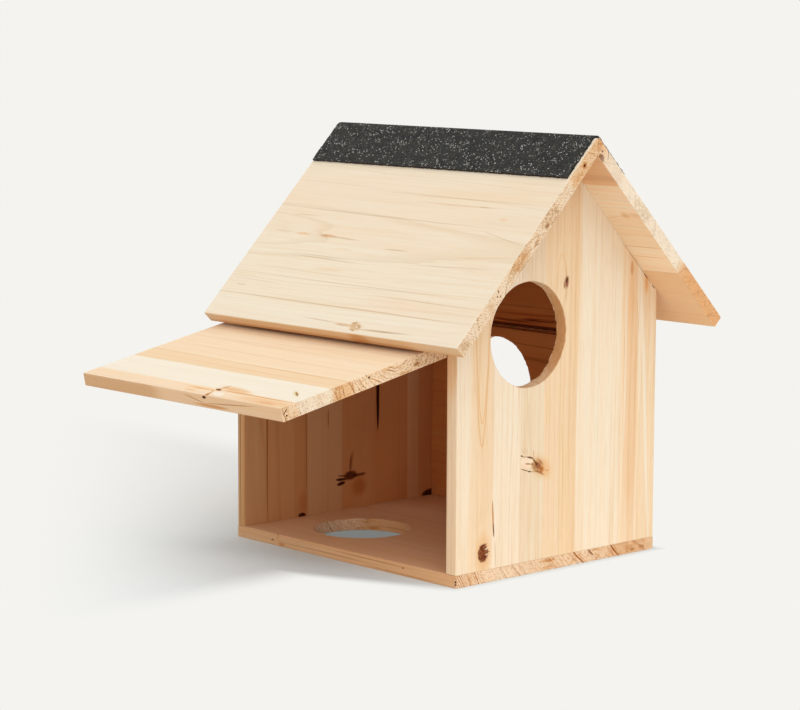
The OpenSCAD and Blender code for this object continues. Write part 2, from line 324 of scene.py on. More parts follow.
def drill(piece, centre, axis, radius, start, end, sides=112):
    """Bores a round hole along an axis, from start to end measured from the centre"""
    axis = Vector(axis)
    bpy.ops.object.select_all(action="DESELECT")
    bpy.ops.mesh.primitive_cylinder_add(
        vertices=sides, radius=radius, depth=end - start,
        location=Vector(centre) + axis * (start + end) / 2, rotation=axis.to_track_quat("Z", "Y").to_euler())
    bit = bpy.context.object
    bpy.ops.object.transform_apply(location=True, rotation=True, scale=True)
    take_up(piece)
    cut = piece.modifiers.new("bore", "BOOLEAN")
    cut.operation, cut.solver, cut.object = "DIFFERENCE", "EXACT", bit
    bpy.ops.object.modifier_apply(modifier=cut.name)
    bpy.data.objects.remove(bit)


def tear_rim(piece, centre, axis, radius, size, wall_tears, face_tears, seed):
    """Breaks the rim of a bore. The centre lies on the rim's own face and the axis points out of the wood.
    Tears give the share of the rim that is torn, and how deep against the size at the least and at the most."""
    centre, axis = Vector(centre), Vector(axis)
    chance = random.Random(seed)
    side = axis.orthogonal().normalized()
    other = axis.cross(side)

    def polar(co):
        arm = co - centre
        depth = arm.dot(axis)
        flat = arm - axis * depth
        return flat.length, depth, math.atan2(flat.dot(other), flat.dot(side))

    def on_rim(edge):
        return all(abs(polar(v.co)[0] - radius) < SAME_RADIUS and abs(polar(v.co)[1]) < SAME_PLACE
                   for v in edge.verts)

    take_up(piece)
    bpy.ops.object.mode_set(mode="EDIT")
    pick(piece, "edges", on_rim)
    bpy.ops.mesh.bevel(offset=size, segments=1, affect="EDGES", clamp_overlap=False)

    def nudge(on_loop, torn, least, most, stretch):
        # The circle is cut into short spans, and each span is torn to one of the depths or not at all
        starts, depths = [-4.0], [0]
        while starts[-1] < math.pi:
            starts.append(max(starts[-1], -math.pi) + chance.uniform(0.03, 0.13))
            depths.append(chance.randrange(1, TEAR_DEPTHS + 1) if chance.random() < torn else 0)
        for level in range(1, TEAR_DEPTHS + 1):
            factor = least + (most - least) * (level - 1) / (TEAR_DEPTHS - 1)
            if pick(piece, "verts", lambda v: on_loop(v) and depths[bisect(starts, polar(v.co)[2]) - 1] == level):
                bpy.ops.transform.resize(value=stretch(factor), center_override=centre)

    steady = [1 - abs(v) for v in axis]

    def wall_loop(vert):
        reach, depth, _ = polar(vert.co)
        return abs(reach - radius) < SAME_RADIUS and -2.9 * size < depth < -SAME_PLACE

    def face_loop(vert):
        reach, depth, _ = polar(vert.co)
        return abs(depth) < SAME_PLACE and radius + 1e-5 < reach < radius + 2.6 * size

    nudge(wall_loop, *wall_tears, lambda f: [1 + (f - 1) * abs(v) for v in axis])
    nudge(face_loop, *face_tears, lambda f: [1 + ((radius + size * f) / (radius + size) - 1) * v for v in steady])
    bpy.ops.object.mode_set(mode="OBJECT")


def finish_board(piece, node, body, finish):
    """Smooths the rounded edges, gives the finish and puts the piece in the node's place"""
    take_up(piece)
    bpy.ops.object.shade_smooth_by_angle(angle=math.radians(32))
    even = piece.modifiers.new("even shading", "WEIGHTED_NORMAL")
    even.keep_sharp = True
    bpy.ops.object.modifier_apply(modifier=even.name)
    piece.data.materials.clear()
    piece.data.materials.append(finish)
    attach(piece, body)
    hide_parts(node)
    bpy.ops.object.select_all(action="DESELECT")


# Finishes

class Signal:
    """One output in a finish, which can be added, multiplied and compared"""

    def __init__(self, finish, socket):
        self.finish, self.socket = finish, socket

    def _maths(self, operation, first, second):
        return self.finish.node("ShaderNodeMath", {"operation": operation}, {0: first, 1: second})

    def __add__(self, other):
        return self._maths("ADD", self, other)

    def __sub__(self, other):
        return self._maths("SUBTRACT", self, other)

    def __rsub__(self, other):
        return self._maths("SUBTRACT", other, self)

    def __mul__(self, other):
        return self._maths("MULTIPLY", self, other)

    def __truediv__(self, other):
        return self._maths("DIVIDE", self, other)

    def __gt__(self, other):
        return self._maths("GREATER_THAN", self, other)

    __radd__, __rmul__ = __add__, __mul__


class Finish:
    """A material, or the air of the studio, under construction"""

    def __init__(self, owner):
        self.owner = owner
        owner.use_nodes = True
        self.tree = owner.node_tree
        self.tree.nodes.clear()
        self.known = {}

    def node(self, kind, settings=None, inputs=None, output=0):
        """Adds a node. One that is asked for again is used again, so that a big finish stays light"""
        settings, inputs = settings or {}, inputs or {}
        asked = (kind, output, tuple(settings.items()), tuple(
            (key, "signal", id(value)) if isinstance(value, Signal) else (key, value)
            for key, value in inputs.items()))
        if asked in self.known:
            return self.known[asked]
        made = self.tree.nodes.new(kind)
        for name, value in settings.items():
            setattr(made, name, value)
        for key, value in inputs.items():
            if isinstance(value, Signal):
                self.tree.links.new(value.socket, made.inputs[key])
            else:
                made.inputs[key].default_value = value
        self.known[asked] = Signal(self, made.outputs[output]) if made.outputs else made
        return self.known[asked]

    def one(self, operation, value):
        return self.node("ShaderNodeMath", {"operation": operation}, {0: value})

    def vector(self, operation, first, second):
        return self.node("ShaderNodeVectorMath", {"operation": operation}, {0: first, 1: second})

    def dot(self, first, second):
        return self.node("ShaderNodeVectorMath", {"operation": "DOT_PRODUCT"}, {0: first, 1: tuple(second)}, 1)

    def join(self, x, y, z):
        return self.node("ShaderNodeCombineXYZ", {}, {0: x, 1: y, 2: z})

    def place(self):
        """The place on the piece, in millimetres"""
        spot = self.node("ShaderNodeTexCoord", {}, {}, "Object")
        return self.node("ShaderNodeVectorMath", {"operation": "SCALE"}, {0: spot, "Scale": 1 / MM})

    def rise(self, value, low, high):
        """0 below low, 1 above high, smooth between"""
        return self.node(
            "ShaderNodeMapRange", {"interpolation_type": "SMOOTHSTEP"},
            {"Value": value, "From Min": low, "From Max": high})

    def noise(self, place, stretch, detail=2.0, roughness=0.5, seed=(0.0, 0.0, 0.0)):
        """Smooth noise from 0 to 1. Stretch is how many bumps there are to a millimetre each way"""
        spot = self.vector("MULTIPLY", place, stretch)
        if any(seed):
            spot = self.vector("ADD", spot, seed)
        return self.node(
            "ShaderNodeTexNoise", {"noise_dimensions": "3D"},
            {"Vector": spot, "Scale": 1.0, "Detail": detail, "Roughness": roughness})

    def blend(self, share, first, second, kind="MIX"):
        return self.node(
            "ShaderNodeMix", {"data_type": "RGBA", "blend_type": kind, "clamp_factor": True},
            {0: share, 6: first, 7: second}, 2)

    def strength(self, mask, share, before=0.0):
        """Strength of a stain for a mask and a share, on top of what went before. Strengths of one tone add up"""
        power = self.node("ShaderNodeMath", {"operation": "POWER"}, {0: mask, 1: STAIN_POWER})
        return self.node(
            "ShaderNodeMath", {"operation": "MULTIPLY_ADD"}, {0: power, 1: share ** STAIN_POWER, 2: before})

    def stain(self, strength, colour, clear, tone):
        """Darkens a colour as a stain does: at a strength of 1, clear wood takes the tone"""
        ratio = tuple(t / c for t, c in zip(tone[:3], clear[:3]))
        deep = self.node("ShaderNodeGamma", {}, {"Color": (*ratio, 1.0), "Gamma": strength})
        return self.blend(1.0, colour, deep, "MULTIPLY")

    def seen(self):
        """1 for what the camera sees, itself or mirrored"""
        rays = [self.node("ShaderNodeLightPath", {}, {}, kind)
                for kind in ("Is Camera Ray", "Is Glossy Ray", "Is Transmission Ray")]
        return self.node("ShaderNodeMath", {"operation": "MINIMUM"}, {0: rays[0] + rays[1] + rays[2], 1: 1.0})

    def surface(self, colour, roughness, height, relief=MM, **fixed):
        """Joins colour, roughness and height to the shader. Height is in units of relief"""
        bump = self.node("ShaderNodeBump", {}, {"Strength": 1.0, "Distance": relief, "Height": height})
        shader = self.node(
            "ShaderNodeBsdfPrincipled", {},
            {"Base Color": colour, "Roughness": roughness, "Normal": bump, **fixed})
        self.node("ShaderNodeOutputMaterial", {}, {"Surface": shader})
        return self.owner


# All of these are in millimetres on the board.
# Which way a stave's rings lie: the seam where it ends, the heart of the tree across the board, how far that
# heart lies under the low face, how both drift along the grain, and the width of a ring
Stave = namedtuple("Stave", "edge heart depth heart_drift depth_drift ring")
# A band of other wood along the grain. Its edges wander where they are soft
Band = namedtuple("Band", "low high soft share tone")
# Nested tongues where the face cuts through the rings: place of the outermost tip, half width after a reach,
# distance between tips, how many, which way they open, share and tone
Loop = namedtuple("Loop", "across along wide reach spacing count way share tone")
# A knot: place, half sizes, shares of heart, border, halo and rays, half sizes of the halo, swell in rings
Knot = namedtuple("Knot", "across along wide tall heart border halo rays halo_wide halo_tall swell")
# A stain, line, crack or dent: place, half sizes, tone, share, turn in degrees, softness, how much of it is
# fibres, depth in millimetres, a seam that it doesn't cross, and whether it is on both faces or the top one
# (across, along), the ends (across, through) or the long edges (through, along)
Mark = namedtuple("Mark", "across along wide tall tone share turn soft fibres depth seam side",
                  defaults=(0.0, 0.5, 0.0, 0.0, None, "face"))
# A bore's wall: place, radius, share and tone, and the share of pale torn wood at its inner rim
# A bore's tint is partly the cut wood's own tone and partly painted shade inside the hole
Bore = namedtuple("Bore", "across along radius share tone lip", defaults=(0.0,))
# End grain: shares of rings, open pores, blotches, dark speckle and slanting saw marks
Ends = namedtuple("Ends", "rings pores blotch speckle saw", defaults=(0.45, 0.3, 0.2, 0.55, 0.0))
# A whole board's wood. Fine is the share of fine fibres. Inner is the share of the inside tint, painted shade on
# the inner faces, which may pass 1, and its sign says which face is inside
Wood = namedtuple("Wood", "staves bands loops knots marks bores base line lines fine ends edge inner seed",
                  defaults=((), (), (), (), (), "cream", "latewood", 0.4, 0.14, Ends(), 0.5, 0, 0.0))


def on(side, *rows):
    """Marks on one side of a board, each row in the order of Mark's values"""
    return [Mark(*row)._replace(side=side) for row in rows]


# Tones that are laid over the wood. All others stain it
PALE = ("sapwood", "end_pale", "resin", "cream", "straw", "amber")


def fir(name, board, tones, wood):
    """Fir as the tree made it: rings round a heart, cut by the board's faces, so that the edges and the end
    grain agree with the face. Painted shade lies over it on the inner faces, and in part in the bores"""
    f = Finish(bpy.data.materials.new(name))
    tint = {key: tuple(getattr(tones, key)) for key in tones.__annotations__}
    clear = tint["cream"]

    def dye(mask, colour, tone, share=1.0):
        if tone in PALE:
            return f.blend(mask * share, colour, tint[tone])
        return f.stain(f.strength(mask, share), colour, clear, tint[tone])

    facing = f.node("ShaderNodeTexCoord", {}, {}, "Normal")
    place = f.place()
    away = [board.origin.dot(way) / MM for way in (board.across, board.through, board.along)]
    a, t, g = (f.dot(place, way) - off if abs(off) > 1e-6 else f.dot(place, way)
               for way, off in zip((board.across, board.through, board.along), away))
    spot = f.join(a + wood.seed * 37.0, t, g + wood.seed * 91.0)
    on_end = f.rise(f.one("ABSOLUTE", f.dot(facing, board.along)), 0.5, 0.85)
    on_edge = f.rise(f.one("ABSOLUTE", f.dot(facing, board.across)), 0.5, 0.85)
    on_face = (1 - on_end) * (1 - on_edge)

    # Slow and quick wander of the grain, and fibres at three scales
    slow = f.noise(spot, (0.022, 0.022, 0.0042), 1.0) - 0.5
    quick = f.noise(spot, (0.10, 0.10, 0.013), 2.0) - 0.5
    fibre = f.noise(spot, (1.9, 1.9, 0.05), 2.0, 0.6)
    streak = f.noise(spot, (0.42, 0.42, 0.008), 2.0, 0.55)
    wander = slow * 8.0 + quick * 2.2 + (streak - 0.5) * 0.9

    # Distance from the heart of the tree, stave by stave
    values = [list(stave[1:]) for stave in wood.staves]
    heart, depth, heart_drift, depth_drift, ring = values[0]
    for before, after, stave in zip(values, values[1:], wood.staves):
        past = a > stave.edge
        heart, depth, heart_drift, depth_drift, ring = [
            now + past * (new - old) if new != old else now
            for now, old, new in zip((heart, depth, heart_drift, depth_drift, ring), before, after)]
    aside = a - heart - g * heart_drift
    under = t - board.low.y / MM + depth + g * depth_drift
    radius = f.one("SQRT", aside * aside + under * under)
    phase = (radius + wander) / ring
    for knot in wood.knots:
        if knot.swell:
            far_a, far_g = (a - knot.across) / (knot.wide * 2.4), (g - knot.along) / (knot.tall * 3.6)
            phase = phase + f.one("EXPONENT", (far_a * far_a + far_g * far_g) * -1.0) * knot.swell
    phase = phase + f.node(
        "ShaderNodeTexNoise", {"noise_dimensions": "1D"}, {"W": phase * 0.37, "Scale": 1.0, "Detail": 1.0}) * 2.2
    turn = f.one("FRACT", phase)
    year = f.node("ShaderNodeTexWhiteNoise", {"noise_dimensions": "1D"}, {"W": phase - turn})
    late = f.rise(turn, 0.45, 0.93) * (1 - f.rise(turn, 0.935, 1.0)) * (year * year * 0.85 + 0.2)

    # Plain wood, bands and rings
    colour = f.blend(f.rise(streak, 0.4, 0.7) * 0.45, tint[wood.base], tint["sapwood"])
    colour = f.blend(f.rise(slow + quick * 0.7, -0.05, 0.3) * 0.4, colour, tint["peach"])
    along = a - g * wood.staves[0].heart_drift
    loose = along + slow * 6.0 + (streak - 0.5) * 3.5
    for band in wood.bands:
        edge = a if band.soft < 0.3 else loose
        share = f.rise(edge, band.low - band.soft, band.low + band.soft) * (
            1 - f.rise(edge, band.high - band.soft, band.high + band.soft))
        colour = f.blend(share * band.share, colour, tint[band.tone])
    colour = dye(late * wood.lines * (streak * 0.9 + 0.55), colour, wood.line)
    colour = dye(f.rise(fibre, 0.58, 0.34), colour, wood.line, wood.fine * 0.9)
    colour = dye(f.rise(streak, 0.48, 0.28), colour, wood.line, wood.fine)
    relief = late * 0.03 + fibre * 0.05

    for loop in wood.loops:
        aside = a - loop.across + quick * 2.0
        bend = loop.reach / loop.wide ** 2
        inward = (g - loop.along) * loop.way - aside * aside * bend
        steps = inward / loop.spacing + 0.5
        near = f.one("ABSOLUTE", f.one("FRACT", steps) - 0.5) * loop.spacing / (
            f.one("ABSOLUTE", aside) * (2 * bend) + 1.0)
        share = (1 - f.rise(near, 0.05, 0.75)) * (inward > -loop.spacing / 2) * (
            1 - f.rise(steps, loop.count - 0.2, loop.count)) * (
            1 - f.rise((g - loop.along) * loop.way, loop.reach * 0.9, loop.reach * 1.7))
        colour = dye(share * loop.share, colour, loop.tone)

    # Staves meet in a fine seam
    for stave in wood.staves[:-1]:
        seam = 1 - f.rise(f.one("ABSOLUTE", a - stave.edge), 0.05, 0.3)
        colour = dye(seam * 0.2, colour, "fleck")
        relief = relief - seam * 0.08

    # End grain: rings in full contrast, with open pores along them, and blotches
    pore = f.noise(spot, (0.95, 0.95, 0.3), 2.0, 0.65, (5.0, 1.0, 7.0))
    patch = f.noise(spot, (0.13, 0.13, 0.05), 2.0, 0.5, (1.0, 6.0, 3.0))
    ends = wood.ends
    end = dye(f.rise(pore, 0.44, 0.66) * ends.speckle, f.blend(0.35, colour, tint["end_pale"]), "end_dark")
    end = dye(f.rise(patch, 0.5, 0.66) * ends.blotch, end, "rust")
    end = dye(late * ends.rings, end, "rust")
    hole = f.rise(f.noise(spot, (0.85, 0.85, 0.3), 1.0, 0.5, (2.0, 9.0, 4.0)) + late * 0.22, 0.62, 0.74)
    end = dye(hole * ends.pores, end, "fleck")
    if ends.saw:
        stroke = f.rise(f.one("SINE", (a * 0.8 - t * 0.9 + patch * 3.0) * 5.2), 0.1, 1.0) * f.rise(pore, 0.3, 0.6)
        end = dye(stroke * ends.saw, end, "rust")
    colour = f.blend(on_end, colour, end)
    relief = relief + on_end * (pore * 0.35 - hole * 0.25)

    # Knots with their rays, rings, border and halo
    jolt = f.noise(spot, (0.8, 0.8, 0.5), 2.0, 0.6, (3.0, 8.0, 5.0)) - 0.5
    for knot in wood.knots:
        glow_a, glow_g = (a - knot.across) / knot.halo_wide, (g - knot.along) / knot.halo_tall
        glow = f.rise(glow_a * glow_a + glow_g * glow_g, 1.0, 0.0) * on_face
        colour = dye(glow * (streak * 0.8 + 0.6), colour, "halo", knot.halo)
        if not knot.heart:
            continue
        far_a, far_g = (a - knot.across) / knot.wide, (g - knot.along) / knot.tall
        out = f.one("SQRT", far_a * far_a + far_g * far_g)
        ray = f.noise(f.join(far_a / out, far_g / out, out * 0.5), (2.6, 2.6, 1.0), 2.0, 0.6, (0.0, 0.0, knot.along))
        out = out + jolt * 0.6
        core = f.rise(out + (ray - 0.5) * 0.6, 1.05, 0.85) * on_face
        border = f.rise(out, 0.6, 0.95) * f.rise(out, 1.25, 1.0) * (ray * 1.6 - 0.15) * on_face
        colour = dye(core, colour, "knot", knot.heart)
        colour = dye(core * f.rise(ray, 0.45, 0.6), colour, "fleck", knot.heart * knot.rays)
        colour = dye(core * f.rise(f.one("SINE", out * 15.0), 0.0, 0.9), colour, "fleck", knot.heart * 0.25)
        colour = dye(border, colour, "bark", knot.border)
        relief = relief - border * (0.12 * knot.border)

    # Single marks. Long ones wander with the grain, and short ones have rough outlines
    on_top = f.rise(f.dot(facing, board.through), 0.5, 0.85)
    sides = {"face": (a, g, on_face), "top": (a, g, on_top), "end": (a, t, on_end), "edge": (t, g, on_edge)}
    # A 1 in the third place lets one dot product turn, size and centre a mark
    views = {side: (f.join(u, v, 1.0), f.join(u + slow * 3.0 + quick * 1.2, v, 1.0), shown)
             for side, (u, v, shown) in sides.items() if any(mark.side == side for mark in wood.marks)}
    rough = f.join(jolt, jolt * -0.6, 0.0)
    stains = {}

    def settle(colour):
        """Lays the stains that were gathered on a colour"""
        for tone, strength in stains.items():
            colour = f.stain(strength, colour, clear, tint[tone])
        stains.clear()
        return colour

    for mark in wood.marks:
        plain, wandering, shown = views[mark.side]
        if max(mark.wide, mark.tall) > SLIM_MARK * min(mark.wide, mark.tall):
            spot = wandering
        else:
            reach = 2.4 * min(0.9, 0.5 * min(mark.wide, mark.tall))
            spot = f.node(
                "ShaderNodeVectorMath", {"operation": "MULTIPLY_ADD"}, {0: rough, 1: (reach, reach, 0.0), 2: plain})
        if mark.turn:
            cos, sin = math.cos(math.radians(mark.turn)), math.sin(math.radians(mark.turn))
            local = f.join(*(
                f.dot(spot, (x / size, y / size, -(mark.across * x + mark.along * y) / size))
                for x, y, size in ((cos, sin, mark.wide), (-sin, cos, mark.tall))), 0.0)
        else:
            local = f.node(
                "ShaderNodeVectorMath", {"operation": "MULTIPLY_ADD"},
                {0: spot, 1: (1 / mark.wide, 1 / mark.tall, 0.0),
                 2: (-mark.across / mark.wide, -mark.along / mark.tall, 0.0)})
        far = f.node("ShaderNodeVectorMath", {"operation": "LENGTH"}, {0: local}, 1)
        share = f.rise(far, math.sqrt(1 + mark.soft), math.sqrt(1 - mark.soft)) * shown
        if mark.fibres:
            share = share * (f.rise(streak * 0.5 + fibre * 0.5, 0.40, 0.60) * mark.fibres + (1 - mark.fibres))
        if mark.seam is not None:
            share = share * (a > mark.seam)
        if mark.tone in PALE:
            colour = settle(colour)
            colour = dye(share, colour, mark.tone, mark.share)
        else:
            stains[mark.tone] = f.strength(share, mark.share, stains.get(mark.tone, 0.0))
        if mark.depth:
            relief = relief - share * mark.depth
    colour = settle(colour)

    # Long edges, bores and inner faces are darker; a bore's tint is partly cut wood, partly painted shade in the hole
    if wood.edge:
        colour = f.blend(on_edge * wood.edge, colour, tint["edge"], "MULTIPLY")
    for bore in wood.bores:
        aside, tall = a - bore.across, g - bore.along
        inside = 1 - f.rise(f.one("SQRT", aside * aside + tall * tall), bore.radius + 0.2, bore.radius + 0.45)
        colour = dye(inside * (f.rise(pore, 0.35, 0.65) * 0.7 + 0.65), colour, bore.tone, bore.share)
        if bore.lip:
            lip = f.rise(t + jolt * 2.4, board.high.y / MM - 1.2, board.high.y / MM - 0.5)
            colour = dye(inside * lip, colour, "end_pale", bore.lip)
    # Painted shade: the inner faces take the inside tint, twice where the share passes 1, for the shade inside the
    # house
    if wood.inner:
        inward = f.rise(f.dot(facing, board.through * math.copysign(1, wood.inner)), 0.3, 0.7)
        for share in (min(1.0, abs(wood.inner)), abs(wood.inner) - 1.0):
            if share > 0:
                colour = f.blend(inward * share, colour, tint["inside"], "MULTIPLY")
    roughness = 0.58 + late * -0.06 + on_end * 0.28 + fibre * 0.1
    return f.surface(colour, roughness, relief, **{"Specular IOR Level": 0.1})


def felt_finish(tones):
    """Bitumen felt with mineral grit, most of it dark and some of it pale"""
    f = Finish(bpy.data.materials.new("ridge_felt_finish"))
    place = f.place()
    facing = f.node("ShaderNodeTexCoord", {}, {}, "Normal")
    cells = {"voronoi_dimensions": "3D"}
    grain = f.node("ShaderNodeTexVoronoi", cells, {"Vector": place, "Scale": 1.0}, "Color")
    edge = f.node("ShaderNodeTexVoronoi", cells, {"Vector": place, "Scale": 1.0}, "Distance")
    split = f.node("ShaderNodeSeparateColor", {}, {0: grain}, 0)
    hue = f.node("ShaderNodeSeparateColor", {}, {0: grain}, 1)
    light = f.node("ShaderNodeSeparateColor", {}, {0: grain}, 2)
    cloud = f.noise(place, (0.09, 0.09, 0.09), 2.0)
    cluster = f.noise(place, (0.22, 0.11, 0.22), 2.0, 0.6, (7.0, 3.0, 1.0))
    colour = f.blend(f.rise(cloud, 0.35, 0.65), tuple(tones.bitumen), paint(44, 45, 43))
    colour = f.blend(f.rise(split, 0.3, 1.0) * 0.5, colour, paint(70, 68, 64))
    colour = f.blend(f.rise(hue, 0.8, 0.95) * 0.45, colour, paint(92, 78, 58))
    bright = f.rise(split + (cluster - 0.5) * 1.5, 0.80, 0.90) * (1 - f.rise(edge, 0.32, 0.55))
    pale = f.blend(f.rise(light, 0.1, 0.8), paint(108, 105, 98), tuple(tones.grit))
    colour = f.blend(bright, colour, pale)
    # Painted shadow: faces that point down, the cut edges and underside, turn reddish brown for the thin shadow under
    # the felt's edge
    cut = f.rise(f.dot(facing, (0.0, 0.0, -1.0)), 0.2, 0.5)
    colour = f.blend(cut, colour, paint(42, 26, 20))
    height = (1 - f.rise(edge, 0.0, 0.7)) * 0.3 + split * 0.25 + bright * 0.15
    return f.surface(colour, 0.88 - bright * 0.35, height, **{"Specular IOR Level": 0.3})


def wire_finish(name, tones, dullness):
    """Drawn steel wire, with fine marks along it and a little grey bloom"""
    f = Finish(bpy.data.materials.new(name))
    place = f.place()
    scratch = f.noise(place, (3.0, 0.4, 3.0), 2.0, 0.6)
    bloom = f.rise(f.noise(place, (0.5, 0.5, 0.5), 3.0, 0.6, (2.0, 5.0, 1.0)), 0.45, 0.75)
    colour = f.blend(bloom * dullness, tuple(tones.steel), paint(126, 122, 116))
    return f.surface(colour, 0.3 + scratch * 0.2 + bloom * 0.25, scratch * 0.02, **{"Metallic": 1.0})


# Operators, one for each piece or group of like pieces

class FloorBoard(bpy.types.Operator):
    """Model the floor board with its escape hole"""
    bl_idname = "squirrel_house.floor_board"
    bl_label = "Floor Board"

    wood = Wood(
        staves=(Stave(30.0, 250.0, -230.0, 0.02, 0.01, 1.5), Stave(None, 262.0, -220.0, 0.0, 0.03, 1.4)),
        bands=(Band(-92, -70, 4, 0.3, "heartwood"), Band(-40, 20, 9, 0.3, "heartwood"),
               Band(60, 90, 4, 0.25, "heartwood")),
        marks=(
            # The end beside the entrance
            *on("end",
                (-94.7, 4.3, 0.7, 0.7, "bark", 0.9), (-94.7, 2.5, 0.6, 0.6, "bark", 0.8),
                (-85, 4, 9, 5, "rust", 0.3, 0, 0.9, 0.5), (-45, 4.2, 24, 6, "end_pale", 0.35, 0, 0.8),
                (-9, 6.6, 8, 1.7, "rust", 0.6, 0, 0.9), (-10, 2, 7, 1.2, "rust", 0.5, 0, 0.9),
                (31.8, 6.2, 0.45, 3.6, "bark", 0.8, 51, 0.6), (37, 7.5, 4.5, 0.9, "rust", 0.6, 0, 0.9),
                (44, 4, 3.2, 2.6, "end_pale", 0.6, 0, 0.8), (74, 2.4, 3, 1.2, "fleck", 0.5, 12, 0.9),
                (84, 3.2, 3.4, 1.2, "fleck", 0.45, -10, 0.9), (91, 4.5, 5, 5, "end_pale", 0.5, 0, 0.6),
                (72, 4.2, 30, 8, "rust", 0.4, 0, 0.6)),
            # A paler part of the inner face
            *on("top",
                (20, -70, 60, 40, "sapwood", 0.35, 0, 0.9)),
            # The edge under the flap
            *on("edge",
                (4.3, -110.7, 0.7, 0.6, "bark", 0.9), (2.5, -110.7, 0.6, 0.5, "bark", 0.8),
                (3.7, 73, 0.6, 1.2, "bark", 0.6), (8, 67, 0.5, 1.2, "fleck", 0.7),
                (6, 67, 0.4, 1, "fleck", 0.6), (5.5, -61, 0.5, 1.2, "fleck", 0.7),
                (2, 63, 1.2, 4.5, "rust", 0.6, 0, 0.9), (6, -30, 0.5, 45, "fleck", 0.4, 0, 0.8),
                (3.2, 20, 0.45, 60, "fleck", 0.4, 0, 0.8), (1.4, -60, 0.6, 40, "fleck", 0.35, 0, 0.8))),
        ends=Ends(0.95, 0.45, 0.4, 0.75), lines=0.5, base="peach", inner=0.5, edge=1.0, seed=1.0)

    def execute(self, context):
        scene = context.scene
        s, h = scene.house_sizes, scene.hole_sizes
        board = house_boards(scene)["floor"]
        piece = rough_board("floor_panel", board)
        ease_long_edges(piece, board, s.ease)
        crisp_edges(piece, s.crisp)
        top = s.floor_thickness
        drill(piece, (h.floor_x, h.floor_y, 0), (0, 0, 1), h.floor_radius, -RUN_OUT, top + RUN_OUT)
        tear_rim(piece, (h.floor_x, h.floor_y, top), (0, 0, 1), h.floor_radius, 0.0004,
                 (0.6, 0.5, 2.0), (0.6, 0.4, 1.9), 4)
        tear_rim(piece, (h.floor_x, h.floor_y, 0), (0, 0, -1), h.floor_radius, 0.0005,
                 (0.5, 0.5, 2.0), (0.5, 0.4, 1.9), 5)
        finish = fir("floor_fir", board, scene.wood_tones, self.wood)
        finish_board(piece, "floor_board", "house", finish)
        return {"FINISHED"}


